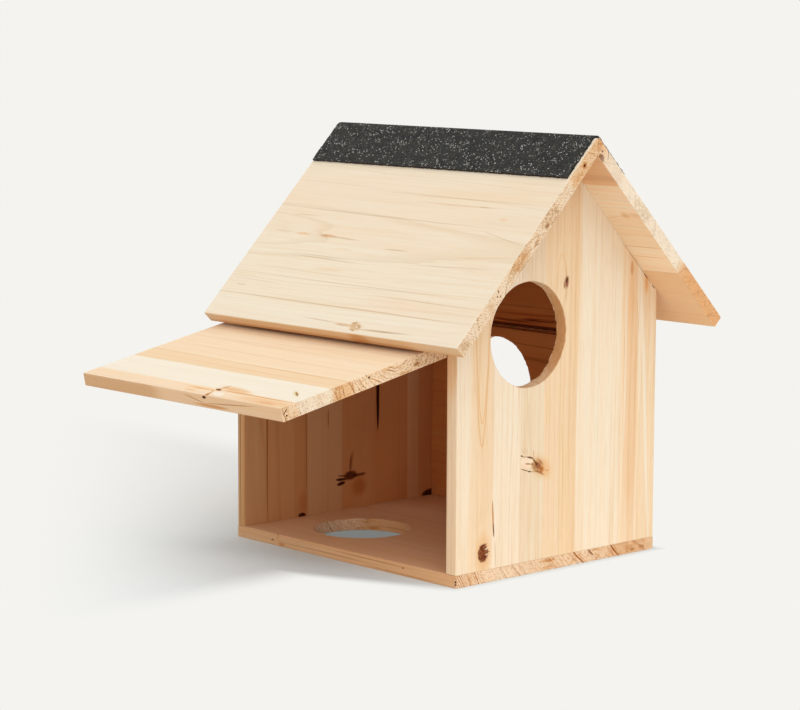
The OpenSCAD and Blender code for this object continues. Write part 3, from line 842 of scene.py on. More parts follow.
class GableWalls(bpy.types.Operator):
    """Model the entrance gable with its round hole, and the rear gable"""
    bl_idname = "squirrel_house.gable_walls"
    bl_label = "Gable Walls"

    entrance_wood = Wood(
        staves=(Stave(-36.5, -72.0, 24.0, 0.0, -0.012, 2.4), Stave(None, 112.0, 26.0, 0.008, 0.012, 2.7)),
        bands=(Band(-95, -84, 2.5, 0.3, "sapwood"), Band(-81, -62, 2.2, 0.42, "heartwood"),
               Band(-61, -36.5, 0.8, 0.4, "sapwood"), Band(-36.5, -15, 0.2, 0.35, "greyed"),
               Band(-15, 16.2, 1.6, 0.52, "heartwood"), Band(7, 16.2, 1.0, 0.15, "halo"),
               Band(18, 58, 3, 0.35, "sapwood"), Band(62, 75, 2.0, 0.6, "peach"),
               Band(66, 74, 2.0, 0.35, "heartwood"), Band(79, 88, 1.5, 0.4, "heartwood"),
               Band(91, 96, 1.0, 0.5, "heartwood")),
        loops=(Loop(-72.0, 91.0, 6.4, 74.0, 15.0, 2, 1, 0.7, "halo"),
               Loop(0.5, 211.0, 4.6, 20.0, 9.0, 1, -1, 0.5, "halo")),
        knots=(Knot(-70.3, 20.0, 4.5, 5.7, 0.8, 0.35, 0.6, 0.95, 10.0, 18.0, 2.0),
               Knot(5.0, 192.0, 2.9, 4.4, 0.0, 0.0, 0.0, 0.85, 10.0, 26.0, 1.8)),
        bores=(Bore(-30.0, 160.0, 35.0, 0.3, "rust", 0.75),),
        marks=(
            # The low knot's rim, wedges and rays
            *on("face",
                (-70.6, 20, 4, 5.2, "rust", 0.6, 0, 0.7), (-73.4, 16.4, 0.9, 3, "bark", 0.35, 38, 0.8),
                (-70, 25.3, 3.2, 0.5, "bark", 0.6, 12, 0.7), (-67, 22.8, 2, 0.7, "end_pale", 0.75, 18, 0.7),
                (-66.8, 18.8, 1.8, 0.5, "end_pale", 0.65, 6, 0.7),
                (-65.8, 20.4, 1.6, 0.35, "bark", 0.5, 8, 0.6),
                # The small knot near the hole
                (5, 192, 2.8, 4.6, "knot", 0.65, -12, 0.9), (5.4, 193.6, 1.1, 2.3, "bark", 0.6, -15, 0.8),
                (5.6, 190.6, 1.3, 2, "plum", 0.7, 0, 0.9), (3, 190, 0.8, 2.6, "fleck", 0.5, 10, 0.8),
                (4.6, 198, 0.5, 4, "fleck", 0.3, 4, 0.8), (4.4, 184, 0.5, 5, "fleck", 0.3, -3, 0.8),
                # The long crack above the low knot
                (-61.2, 41.8, 0.65, 12.5, "rust", 0.9, 3, 0.4, 0, 0.25),
                (-60.8, 34, 0.4, 4.5, "bark", 0.75, 3), (-59, 18, 0.35, 10, "fleck", 0.4, 2.9, 0.6),
                (-61.3, 120, 0.4, 70, "latewood", 0.5, 0, 0.6),
                # Orange lines in the middle
                (9.3, 150, 0.45, 115, "rust", 0.3, 0, 0.7), (13.6, 160, 0.35, 100, "rust", 0.22, 0, 0.7),
                (3, 90, 0.35, 70, "halo", 0.6, 0, 0.6), (-5, 80, 0.35, 80, "halo", 0.5, 0, 0.6),
                (-10, 100, 0.4, 90, "halo", 0.5, 0, 0.6),
                # The flame and the pale stripe on the right
                (69.5, 112, 7.8, 92, "halo", 0.42), (69.2, 197.5, 1.6, 5.5, "rust", 0.6, 0, 0.8),
                (69, 175, 3, 22, "heartwood", 0.4, -2, 0.8), (83.5, 105, 1.6, 105, "sapwood", 0.55, 3.3),
                (84, 186, 2.3, 8.5, "halo", 0.85, 0, 0.9), (75.3, 165, 0.35, 14, "rust", 0.5, 5, 0.6),
                (63.5, 130, 0.9, 60, "sapwood", 0.5, -1, 0.6), (61.6, 110, 0.35, 50, "halo", 0.5, -1, 0.6),
                (74, 200.4, 27, 0.35, "fleck", 0.45, -45.5, 0.6), (83, 191.1, 2.6, 0.4, "bark", 0.6, -45.5),
                (91, 183, 2, 0.4, "bark", 0.6, -45.5),
                # The knot that the seam cuts through: halo, pale body, dark arcs, broken right part
                (-17.5, 71, 12, 7.5, "halo", 0.8, -35, 0.9, 0.2, 0, -36.5),
                (-29, 102, 2, 20, "fleck", 0.2, 4, 0.8, 0.8, 0, -36.5),
                (-27, 45, 5, 22, "halo", 0.3, -4, 0.9, 0.8, 0, -36.5),
                (-21, 72, 6.4, 5.2, "fleck", 0.55, -38, 0.9, 0.5, 0, -36.5),
                (-23.6, 72.2, 2.4, 3.6, "fleck", 0.6, 10, 0.8, 0.4),
                (-19.9, 72, 2.6, 2.7, "plum", 0.8, -30, 0.8),
                (-31, 75, 6.3, 3.4, "end_pale", 0.95, -8, 0.3, 0, 0, -36.5),
                (-32.5, 73.2, 4.5, 1.2, "peach", 0.8, -10, 0.7, 0, 0, -36.5),
                (-35.6, 80.1, 1.6, 0.5, "bark", 0.6, -18, 0.6, 0, 0.2, -36.5),
                (-32.5, 79.2, 2.6, 0.3, "fleck", 0.6, -8, 0.6, 0, 0, -36.5),
                (-27.6, 78.2, 3.2, 0.6, "bark", 0.7, -14, 0.7, 0, 0.3),
                (-23.4, 75.4, 2.8, 0.6, "bark", 0.6, -48, 0.7),
                (-29.5, 74.2, 2.6, 0.55, "fleck", 0.75, -8, 0.6), (-25.8, 73.6, 1.4, 1, "fleck", 0.7, 0, 0.8),
                (-21.6, 73.4, 1, 1.6, "bark", 0.5, 0, 0.8), (-16.6, 69.2, 2.8, 2.2, "rust", 0.9, -30, 0.9),
                (-18.5, 67.3, 3.4, 0.9, "fleck", 0.7, -20, 0.8, 0.4),
                (-21.5, 68.5, 2.2, 0.8, "fleck", 0.7, -10, 0.8, 0.3),
                (-15.5, 65.6, 2, 0.5, "fleck", 0.5, -15, 0.8), (-18.2, 75, 3.6, 0.45, "fleck", 0.5, -35, 0.7),
                (-17, 73.6, 3.4, 0.4, "fleck", 0.45, -40, 0.7), (-24.3, 80.5, 0.35, 3, "fleck", 0.45, 0, 0.6),
                (-32.2, 70.2, 4.5, 0.35, "bark", 0.5, -18, 0.6, 0, 0.2, -36.5),
                (-28.2, 68.9, 0.9, 0.6, "bark", 0.8, 0, 0.5, 0, 0.3),
                (-25.6, 68.5, 2.6, 0.4, "fleck", 0.5, -8, 0.6),
                (-11.5, 67.8, 1.6, 0.35, "rust", 0.8, -20, 0.6),
                (-34.5, 83.5, 0.3, 3.2, "fleck", 0.3, 30, 0.7, 0, 0, -36.5),
                (-32.5, 83.4, 0.3, 3, "fleck", 0.28, 24, 0.7, 0, 0, -36.5),
                (-30.6, 83.2, 0.25, 3, "fleck", 0.26, 18, 0.7), (-26.5, 83, 0.25, 4, "fleck", 0.22, 6, 0.7)),
            # The edge beside the flap
            *on("edge",
                (-101.4, 95, 0.4, 90, "end_pale", 0.8), (-102.7, 95, 0.35, 90, "fleck", 0.3, 0, 0.6),
                (-106, 162, 8, 40, "halo", 0.6, 0, 0.6))),
        base="straw", lines=0.42, fine=0.34, ends=Ends(0.5, 0.2, 0.2, 0.4), edge=0.3, inner=0.9, seed=2.0)

    rear_wood = Wood(
        staves=(Stave(-36.2, -90.0, 40.0, 0.0, 0.02, 2.6), Stave(-3.0, 60.0, 30.0, 0.01, -0.02, 2.8),
                Stave(30.5, 8.0, 30.0, 0.01, -0.02, 2.8), Stave(None, 150.0, 30.0, 0.0, 0.0, 2.4)),
        bands=(Band(-74, -50, 1.0, 0.45, "heartwood"), Band(-50, -37, 1.0, 0.5, "halo"),
               Band(-36.2, -3, 0.2, 0.5, "sapwood"), Band(-3, 28, 1.5, 0.6, "halo"), Band(28, 61, 1.0, 0.75, "halo"),
               Band(72, 95, 1.5, 0.6, "halo")),
        marks=(
            *on("face",
                (-74, 80, 0.8, 75, "fleck", 0.6, 0, 0.7), (-38, 70, 0.7, 60, "fleck", 0.5, 0, 0.8),
                (-17, 77, 0.5, 7, "fleck", 0.6, 0, 0.6), (13, 24, 8, 8, "rust", 0.6, 20, 0.9),
                (4.5, 33, 6.5, 3.4, "bark", 0.85, 4, 0.7, 0.2), (13, 32.5, 7, 1.3, "bark", 0.7, 3, 0.8, 0.3),
                (5, 42, 1.6, 9, "bark", 0.6, -10, 0.8, 0.6), (-4.5, 31, 5, 1, "bark", 0.9, -3, 0.4),
                (-4.5, 28, 4, 1.3, "bark", 0.85, 8, 0.4), (-4, 33.6, 4, 0.5, "bark", 0.7, -8, 0.4),
                (31.2, 110, 1.7, 46, "bark", 0.95, 0.8, 0.2, 0, 0.8), (-42, 9.5, 3.5, 1.8, "bark", 0.9),
                (-41, 18, 5, 10, "rust", 0.35, 0, 0.9), (84, 10, 8, 3.4, "bark", 0.9, 6, 0.7),
                (-84, 90, 2.6, 70, "sapwood", 0.5, 0, 0.8)),
            # The edge beside the flap. The wide rust stain over all of it is painted shade under the flap
            *on("edge",
                (107, 95, 20, 200, "rust", 0.45, 0, 0.2), (108, 95, 0.35, 95, "bark", 0.45, 0, 0.6),
                (110, 95, 0.35, 95, "bark", 0.4, 0, 0.6))),
        lines=0.5, ends=Ends(0.5, 0.2, 0.2, 0.4), edge=1.0, inner=-0.84, seed=3.0)

    def gable(self, scene, name, board, outer_y, outward):
        s, h = scene.house_sizes, scene.hole_sizes
        wall_top, peak, _ = heights(s)
        sin, cos = math.sin(s.pitch), math.cos(s.pitch)
        piece = rough_board(name, board)
        for side in (-1, 1):
            saw_off(piece, (0, 0, peak), (side * sin, 0, cos))
        ease_long_edges(piece, board, s.ease)
        crisp_edges(piece, s.crisp)
        hinge = Vector((-s.width / 2 + s.flap_thickness / 2, outer_y, wall_top - scene.flap_sizes.hinge_drop))
        drill(piece, hinge, outward, h.nail_radius + GABLE_PLAY, -h.nail_reach, NAIL_RUN_OUT, 32)
        drill(piece, hinge, outward, h.nail_head, -h.nail_head_depth, NAIL_RUN_OUT, 40)
        return piece

    def execute(self, context):
        scene = context.scene
        s, h, tones = scene.house_sizes, scene.hole_sizes, scene.wood_tones
        boards = house_boards(scene)
        y = s.depth / 2

        piece = self.gable(scene, "entrance_gable", boards["entrance"], -y, (0, -1, 0))
        centre = Vector((h.entrance_x, -y, h.entrance_z))
        inner = centre + Vector((0, s.entrance_thickness, 0))
        drill(piece, centre, (0, -1, 0), h.entrance_radius, -s.entrance_thickness - RUN_OUT, RUN_OUT, 144)
        tear_rim(piece, centre, (0, -1, 0), h.entrance_radius, 0.00035, (0.5, 0.5, 1.8), (0.5, 0.4, 1.7), 11)
        tear_rim(piece, inner, (0, 1, 0), h.entrance_radius, 0.0007, (0.8, 0.3, 2.2), (0.75, 0.3, 2.0), 12)
        finish = fir("entrance_gable_fir", boards["entrance"], tones, self.entrance_wood)
        finish_board(piece, "entrance_wall", "house", finish)

        piece = self.gable(scene, "rear_gable", boards["rear"], y, (0, 1, 0))
        finish = fir("rear_gable_fir", boards["rear"], tones, self.rear_wood)
        finish_board(piece, "rear_wall", "house", finish)
        return {"FINISHED"}


class SideWall(bpy.types.Operator):
    """Model the two boards of the closed side wall, the lower one with its hole"""
    bl_idname = "squirrel_house.side_wall"
    bl_label = "Side Wall"

    low_wood = Wood(
        staves=(Stave(None, 60.0, 40.0, 0.02, 0.03, 3.0),),
        bands=(Band(10, 40, 6, 0.4, "heartwood"), Band(110, 125, 5, 0.4, "halo")),
        marks=on(
            "face",
            # The bark line just under the joint is painted shade of the joint's gap
            (142.6, 0, 1.2, 105, "bark", 0.55, 0, 0.8), (122, 0, 1.6, 60, "fleck", 0.4, -2, 0.8, 0.6),
            (131, -20, 0.5, 60, "fleck", 0.5, -1.5, 0.7)),
        lines=0.5, base="peach", edge=0.7, inner=-1.4, seed=4.0)
    high_wood = Wood(
        staves=(Stave(None, 240.0, 50.0, 0.0, 0.02, 2.6),),
        bands=(Band(143, 156, 3, 0.7, "halo"), Band(160, 190, 3, 0.5, "halo")),
        marks=on(
            "face",
            # The bark line just over the joint is painted shade of the joint's gap and eased edge
            (145, 0, 1.6, 105, "bark", 0.7, 0, 0.8), (150, -10, 1.3, 26, "bark", 0.6, 1.5, 0.8, 0.7),
            (148, 20, 1, 30, "bark", 0.5, -1, 0.8, 0.6), (153.5, 0, 0.9, 50, "fleck", 0.6, 1, 0.8, 0.6),
            (159, 10, 0.8, 70, "fleck", 0.5, 0.5, 0.8, 0.5)),
        lines=0.6, base="peach", edge=0.7, inner=-1.4, seed=5.0)

    def execute(self, context):
        scene = context.scene
        s, h, tones = scene.house_sizes, scene.hole_sizes, scene.wood_tones
        boards = house_boards(scene)
        x = s.width / 2
        _, peak, _ = heights(s)

        board = boards["side_low"]
        piece = rough_board("side_board_low", board)
        ease_long_edges(piece, board, s.ease)
        crisp_edges(piece, s.crisp)
        centre = Vector((x, h.side_y, h.side_z))
        inner = centre - Vector((s.side_thickness, 0, 0))
        drill(piece, centre, (1, 0, 0), h.side_radius, -s.side_thickness - RUN_OUT, RUN_OUT)
        tear_rim(piece, centre, (1, 0, 0), h.side_radius, 0.0004, (0.5, 0.5, 1.9), (0.5, 0.4, 1.8), 21)
        tear_rim(piece, inner, (-1, 0, 0), h.side_radius, 0.0007, (0.7, 0.4, 2.2), (0.7, 0.4, 2.0), 22)
        finish = fir("side_board_low_fir", board, tones, self.low_wood)
        finish_board(piece, "side_wall_lower_board", "house", finish)

        board = boards["side_high"]
        piece = rough_board("side_board_high", board)
        saw_off(piece, (0, 0, peak), (math.sin(s.pitch), 0, math.cos(s.pitch)))
        ease_long_edges(piece, board, s.ease, keep=lambda end: end.x < s.joint_height + 0.01)
        crisp_edges(piece, s.crisp)
        finish = fir("side_board_high_fir", board, tones, self.high_wood)
        finish_board(piece, "side_wall_upper_board", "house", finish)
        return {"FINISHED"}


class RoofBoards(bpy.types.Operator):
    """Model the two roof boards, mitred at the ridge"""
    bl_idname = "squirrel_house.roof_boards"
    bl_label = "Roof Boards"

    flap_side_wood = Wood(
        staves=(Stave(None, 101.0, 30.0, -0.012, -0.028, 2.3),),
        bands=(Band(160, 180, 3, 0.3, "sapwood"), Band(45, 100, 10, 0.25, "peach")),
        knots=(Knot(173.2, -42.0, 3.4, 4.8, 0.0, 0.0, 0.0, 0.6, 7.0, 18.0, 0.7),),
        marks=(
            *on("face",
                (57, -85, 4, 66, "heartwood", 0.5, 1, 0.8, 0.5),
                (66, -64, 0.7, 46, "rust", 0.4, 0.3, 0.8, 0.3), (66.5, -86, 0.5, 6, "fleck", 0.3, 0, 0.8),
                (60.5, -60, 0.5, 80, "latewood", 0.6, 0.6, 0.7), (81, 10, 0.5, 130, "fleck", 0.28, 1.1, 0.8),
                (90, -118, 0.5, 24, "fleck", 0.24, 12, 0.8), (107.5, -115, 0.5, 28, "halo", 0.6, -6, 0.8),
                (75, -109, 1.8, 4, "halo", 0.4, 0, 0.9), (109, -32, 0.5, 12, "fleck", 0.35, 0, 0.8),
                (102.6, 41, 1.9, 10, "rust", 0.6, 0.5, 0.9, 0.4),
                (103.6, 24, 0.8, 17, "latewood", 0.7, 2, 0.8, 0.3),
                (102.6, 67, 1.3, 9, "halo", 0.8, 0, 0.9, 0.4), (101.8, 88, 0.6, 12, "latewood", 0.5, 0, 0.8),
                (102.4, 44, 0.6, 4, "fleck", 0.38, 0, 0.9), (130.5, 18, 1.5, 17, "halo", 0.5, -1.5, 0.9, 0.4),
                (112.5, 18, 1.2, 12, "halo", 0.35, 0, 0.9), (121.8, 30, 0.45, 42, "fleck", 0.32, 1.2, 0.8),
                (119.8, 40, 0.4, 34, "fleck", 0.28, 1.2, 0.8), (117.6, -95, 0.5, 48, "fleck", 0.24, -2, 0.8),
                (140.6, -10, 0.5, 130, "fleck", 0.26, 0.6, 0.8), (133.5, 40, 0.4, 70, "fleck", 0.2, 1, 0.8),
                (148, -92, 0.5, 52, "fleck", 0.28, 0.8, 0.8), (146, 80, 0.45, 30, "fleck", 0.22, 0.5, 0.8),
                (151.5, 92, 0.5, 6, "fleck", 0.28, 0, 0.8),
                (159.8, -16, 0.5, 140, "latewood", 0.75, 0.6, 0.7), (86, 75, 0.6, 14, "fleck", 0.24, -1, 0.8),
                (174.6, -70, 0.9, 26, "fleck", 0.5, -1.2, 0.9, 0.4),
                (173.2, -31, 1.3, 9, "rust", 0.6, 1, 0.8, 0.3),
                (171.8, -8, 0.6, 20, "fleck", 0.35, 1.5, 0.9, 0.3),
                (173.4, -43, 3.6, 6.4, "rust", 0.62, 6, 0.9), (170.6, -40.6, 1, 3, "fleck", 0.45, -20, 0.8),
                (173, -46.5, 1.1, 2, "fleck", 0.4, 20, 0.8), (173.4, -44.6, 0.8, 1.1, "sapwood", 0.6, 0, 0.7),
                (176.3, -42, 0.7, 3, "fleck", 0.45, 12, 0.8), (171, -36, 0.9, 2.4, "sapwood", 0.5, -20, 0.8)),
            # The porch end
            *on("end",
                (19, -4.5, 20, 14, "halo", 0.6, 0, 0.3), (22.2, -4.1, 2.7, 2.3, "rust", 0.75, 0, 0.6),
                (22.2, -4.1, 1.1, 0.9, "bark", 0.8), (31, -6, 8, 2.4, "rust", 0.6, 0, 0.8, 0.8),
                (66.5, -4.5, 10, 8, "fleck", 0.5, 0, 0.4, 1), (72, -6, 2.4, 1.6, "fleck", 0.5, 0, 0.8),
                (86.5, -6.4, 3.2, 1.4, "fleck", 0.5, -12, 0.8), (104.5, -3.5, 13, 5, "halo", 0.65, 0, 0.9),
                (104.5, -4.5, 12, 5, "fleck", 0.4, 0, 0.5, 1), (130.6, -2.5, 0.7, 0.7, "fleck", 0.9),
                (133.4, -4.2, 0.8, 0.6, "fleck", 0.85), (131.5, -6.1, 0.7, 0.6, "fleck", 0.85),
                (174, -4, 6.5, 3.4, "fleck", 0.45, 28, 0.9, 0.4)),
            # The eave. The rust and bark lines along all of its lower corner are painted shade of the gap over the
            # flap
            *on("edge",
                (-8.4, 0, 3.6, 400, "rust", 0.5, 0, 0.8), (-8.9, 0, 1, 400, "bark", 0.35, 0, 0.8),
                (-4.5, -48, 6, 11, "rust", 0.55, 0, 0.9), (-4.5, -116, 9, 30, "end_pale", 0.35, 0, 0.6))),
        line="latewood", lines=0.42, fine=0.2, ends=Ends(0.25, 0.4, 0.3, 0.45, 0.7), edge=0.9, inner=-1.0, seed=6.0)

    far_side_wood = Wood(
        staves=(Stave(124.0, 40.0, 30.0, 0.0, 0.02, 2.9), Stave(None, 260.0, 60.0, 0.0, 0.0, 2.6)),
        bands=(Band(0, 37, 0.5, 0.7, "halo"), Band(27, 33, 1.5, 0.3, "rust"), Band(70, 100, 6, 0.35, "heartwood"),
               Band(124, 200, 0.2, 0.7, "halo")),
        knots=(Knot(67.5, -129.5, 4.0, 4.5, 0.0, 0.0, 0.0, 0.5, 8.0, 16.0, 1.3),),
        marks=(
            *on("face",
                (67.5, -129.5, 3.2, 4, "rust", 0.45, 0, 0.9), (66.5, -140, 2.5, 9, "rust", 0.4, 0, 0.9, 0.3),
                (98.5, -125, 0.5, 20, "fleck", 0.35, 0, 0.8), (109, -125, 0.4, 20, "fleck", 0.3, 0, 0.8)),
            # The porch end, with a hollow near the ridge
            *on("end",
                (4.5, -4.5, 4, 7, "rust", 0.5, 0, 0.6), (12.3, -7.9, 2.9, 2.4, "fleck", 0.9, 0, 0.4, 0, 0.5),
                (10, -4.5, 0.6, 0.6, "bark", 0.9), (14.5, -0.4, 0.7, 0.6, "bark", 0.8),
                (16.5, -2.7, 0.35, 2.8, "bark", 0.9, 34), (70, -4.5, 56, 20, "sapwood", 0.5, 0, 0.3),
                (66, -4.5, 11, 7, "fleck", 0.3, 0, 0.6, 0.8), (152, -4.5, 32, 14, "halo", 0.75, 0, 0.3))),
        base="amber", line="rust", lines=0.3, ends=Ends(0.2, 0.25, 0.15, 0.3, 0.5), edge=0.6, inner=0, seed=7.0)

    def execute(self, context):
        scene = context.scene
        s, tones = scene.house_sizes, scene.wood_tones
        boards = house_boards(scene)
        _, peak, ridge = heights(s)
        flat_z = ridge - s.ridge_flat / 2 * math.tan(s.pitch)
        for side, key, name, node, wood in (
                (-1, "roof_flap_side", "roof_panel_flap_side", "flap_side_roof_board", self.flap_side_wood),
                (1, "roof_far_side", "roof_panel_far_side", "far_side_roof_board", self.far_side_wood)):
            board = boards[key]
            piece = rough_board(name, board)
            saw_off(piece, (0, 0, 0), (-side, 0, 0))
            saw_off(piece, (0, 0, flat_z), (0, 0, 1))
            if side > 0:
                high = Vector((0, 0, peak + s.relief_height))
                low = Vector((s.relief_width, 0, peak - s.relief_width * math.tan(s.pitch)))
                fall = low - high
                saw_off(piece, high, (fall.z, 0, -fall.x))
            ease_long_edges(piece, board, s.ease, keep=lambda end: end.x > board.high.x - 0.001)
            crisp_edges(piece, s.crisp)
            finish_board(piece, node, "house", fir(key + "_fir", board, tones, wood))
        return {"FINISHED"}


class SideFlap(bpy.types.Operator):
    """Model the side flap, open, with the bores for its nails"""
    bl_idname = "squirrel_house.side_flap"
    bl_label = "Side Flap"

    wood = Wood(
        staves=(Stave(None, 45.0, -19.5, -0.014, 0.006, 2.3),),
        bands=(Band(-14, 84, 6, 0.3, "peach"), Band(28, 50, 5, 0.2, "heartwood"),
               Band(85, 102.2, 0.9, 0.6, "heartwood"), Band(102.2, 131, 0.8, 0.85, "sapwood"),
               Band(132.5, 146, 1.2, 0.4, "peach")),
        marks=(
            *on("face",
                (54.5, 5, 0.5, 105, "latewood", 0.5, 1, 0.8), (70, 0, 0.6, 110, "latewood", 0.55, 1, 0.8),
                (46.5, 8, 0.5, 22, "latewood", 0.5, 0, 0.8), (87.5, -50, 0.8, 60, "halo", 0.5, 1, 0.8),
                # The wide halo band at 24.5 mm, along the eave's edge, is painted shade of the gap under the eave
                (95.5, 0, 0.7, 100, "halo", 0.45, 1, 0.8), (24.5, 0, 3, 160, "halo", 0.55, 0, 0.9),
                # The knot and its crack at the outer edge
                (129.5, -40, 4.6, 18, "halo", 1, 7, 0.8, 0.3), (133.6, -66, 0.7, 42, "rust", 0.7, 0.3, 0.6),
                (139, -80, 5, 30, "halo", 0.7, 0, 0.7, 0.3), (140, -82, 2.2, 9, "rust", 0.45, 0, 0.9, 0.4),
                (135.6, -12, 1.5, 15, "halo", 1, -1, 0.8, 0.3), (140.5, -7, 2.2, 7, "halo", 0.7, 0, 0.9, 0.4),
                (139.5, -34, 3, 6, "sapwood", 0.8, 12), (129, -27.6, 5.2, 0.8, "rust", 0.9, 10, 0.6),
                (133.4, -27, 1.5, 3.4, "fleck", 0.95, 18, 0.7, 0, 0.3),
                (133.2, -27.4, 0.6, 2, "bark", 0.4, 18, 0.8), (136.8, -25, 0.9, 1.4, "rust", 0.9, 0, 0.7),
                (141, -26.8, 3.4, 0.8, "rust", 0.8, -8, 0.6),
                (143.6, -27.6, 2.4, 1.8, "rust", 1, 0, 0.8, 0, 0.3),
                # A small resin pocket
                (119.6, -86.2, 6.6, 1.9, "resin", 0.55, 126, 0.7),
                (119.7, -87, 5.4, 0.8, "fleck", 0.75, 126, 0.7)),
            # The end beside the entrance gable
            *on("end",
                (31, -1, 3, 1.2, "fleck", 0.65, 0, 0.8), (20, 0, 16, 5, "fleck", 0.45, 0, 0.5, 1),
                (41.5, -3.4, 6.5, 0.45, "rust", 0.7, 0, 0.6),
                (53.5, 1.5, 3.8, 0.45, "fleck", 0.75, 23, 0.5, 0.5), (67, -0.8, 6.2, 0.4, "rust", 0.8, 33),
                (72, 2.3, 0.8, 0.7, "bark", 0.85), (93, 0, 9.5, 8, "halo", 0.55, 0, 0.6),
                (86, 0, 0.5, 4.5, "fleck", 0.6, 0, 0.6, 0.5), (94, 0, 0.5, 4.5, "fleck", 0.6, 0, 0.6, 0.5),
                (97, 0, 0.45, 4.5, "fleck", 0.6, 0, 0.6, 0.5), (100, 0, 0.45, 4.5, "fleck", 0.6, 0, 0.6, 0.5),
                (116, 0, 14, 8, "end_pale", 0.35, 0, 0.6), (141.8, 1.6, 2.4, 0.4, "bark", 0.8, -38),
                (141, -1, 0.6, 0.6, "bark", 0.8)),
            # The outer edge
            *on("edge",
                (2.8, -25.5, 1, 1.8, "bark", 0.85), (0.7, -15, 0.35, 10.5, "fleck", 0.6, -10.5),
                (0.7, -50, 0.35, 25, "fleck", 0.55, 4.2), (-2.3, -32, 1, 18, "rust", 0.65, 0, 0.7),
                (-1, 70, 12, 50, "fleck", 0.3, 0, 0.4))),
        base="straw", lines=0.42, fine=0.18, ends=Ends(0.6, 0.5, 0.3, 0.5, 0.4), edge=0.65, inner=-0.5, seed=8.0)

    def execute(self, context):
        scene = context.scene
        s, h, tones = scene.house_sizes, scene.hole_sizes, scene.wood_tones
        board = house_boards(scene)["flap"]
        piece = rough_board("flap_panel", board)
        ease_long_edges(piece, board, s.ease)
        crisp_edges(piece, s.crisp)
        for side in (-1, 1):
            mouth = Vector((board.origin.x, side * s.depth / 2, board.origin.z))
            drill(piece, mouth, (0, side, 0), h.nail_radius + FLAP_PLAY, -h.nail_reach, NAIL_RUN_OUT, 32)
        finish_board(piece, "side_flap", "flap", fir("flap_fir", board, tones, self.wood))
        return {"FINISHED"}


class RidgeFelt(bpy.types.Operator):
    """Model the felt, folded over the ridge, with cut edges that are a little ragged"""
    bl_idname = "squirrel_house.ridge_felt"
    bl_label = "Ridge Felt"

    def execute(self, context):
        scene = context.scene
        s, felt = scene.house_sizes, scene.felt_sizes
        _, _, ridge = heights(s)
        half_flat = s.ridge_flat / 2
        flat_z = ridge - half_flat * math.tan(s.pitch)
        leg = felt.leg - half_flat / math.cos(s.pitch)
        cells = round(leg / half_flat)
        half = half_flat + leg
        from_y = -s.depth / 2 - s.porch + felt.porch_setback
        to_y = s.depth / 2 - s.rear_setback - felt.rear_setback
        rows = round((to_y - from_y) / FELT_CELL)

        bpy.ops.object.select_all(action="DESELECT")
        bpy.ops.mesh.primitive_grid_add(
            x_subdivisions=2 * (cells + 1), y_subdivisions=rows, size=1,
            location=(0, (from_y + to_y) / 2, flat_z))
        piece = bpy.context.object
        piece.name = piece.data.name = "ridge_strip"
        piece.scale = (2 * half, to_y - from_y, 1)
        bpy.ops.object.transform_apply(location=True, rotation=True, scale=True)
        step = half / (cells + 1)
        bpy.ops.object.mode_set(mode="EDIT")
        chance = random.Random(31)
        for axis, low, high, depth in ((0, -half, half, LEG_TEAR), (1, from_y, to_y, END_TEAR)):
            for side in (-1, 1):
                # Each cell along the cut edge stays or is pulled in by one of three depths
                tears = {}

                def tear(v):
                    return tears.setdefault(round(v.co[1 - axis] / FELT_CELL), chance.choice((0, 0, 1, 1, 2, 3)))
                rim = low if side < 0 else high
                for level in (1, 2, 3):
                    shift = [0.0, 0.0, 0.0]
                    shift[axis] = -side * depth * level / 3
                    pick(piece, "verts", lambda v: abs(v.co[axis] - rim) < SAME_PLACE and tear(v) == level)
                    bpy.ops.transform.translate(value=shift)
        for side in (-1, 1):
            pick(piece, "verts", lambda v: v.co.x * side > step * 1.5)
            bpy.ops.transform.rotate(
                value=-s.pitch * side, orient_axis="Y", orient_type="GLOBAL",
                center_override=(side * step, 0, flat_z))
        shape = bmesh.from_edit_mesh(piece.data)
        if max(v.co.z for v in shape.verts) > flat_z + 0.001:
            raise RuntimeError("The felt folded upwards")
        bpy.ops.object.mode_set(mode="OBJECT")

        body = piece.modifiers.new("thickness", "SOLIDIFY")
        body.thickness, body.offset = felt.thickness, 1.0
        bpy.ops.object.modifier_apply(modifier=body.name)
        bpy.ops.object.mode_set(mode="EDIT")
        bpy.ops.mesh.select_all(action="SELECT")
        bpy.ops.mesh.normals_make_consistent(inside=False)
        bpy.ops.object.mode_set(mode="OBJECT")
        grain = bpy.data.textures.new("felt_grit", "CLOUDS")
        grain.noise_scale, grain.noise_depth = 0.0022, 2
        outer = piece.vertex_groups.new(name="outer")
        lift = felt.thickness * 0.6
        sin, cos = math.sin(s.pitch), math.cos(s.pitch)
        outer.add([v.index for v in piece.data.vertices
                   if abs(v.co.x) * sin + (v.co.z - ridge) * cos > lift
                   or (abs(v.co.x) <= step * 1.5 and v.co.z > flat_z + lift)], 1.0, "REPLACE")
        rough = piece.modifiers.new("grit", "DISPLACE")
        rough.texture, rough.strength, rough.mid_level = grain, felt.grit, 0.0
        rough.vertex_group, rough.texture_coords = outer.name, "LOCAL"
        bpy.ops.object.modifier_apply(modifier=rough.name)
        bpy.ops.object.shade_smooth_by_angle(angle=math.radians(40))
        piece.data.materials.clear()
        piece.data.materials.append(felt_finish(scene.wood_tones))
        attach(piece, "house")
        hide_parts("ridge_felt")
        bpy.ops.object.select_all(action="DESELECT")
        return {"FINISHED"}


class Fasteners(bpy.types.Operator):
    """Finish the pivot nails and the headless pins"""
    bl_idname = "squirrel_house.fasteners"
    bl_label = "Nails and Pins"

    def execute(self, context):
        tones = context.scene.wood_tones
        nail = wire_finish("nail_wire", tones, 0.35)
        pin = wire_finish("pin_wire", tones, 0.7)
        for name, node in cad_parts.items():
            if name.endswith("_nail") or name.endswith("_pins"):
                node.data.materials.clear()
                node.data.materials.append(nail if name.endswith("_nail") else pin)
        return {"FINISHED"}


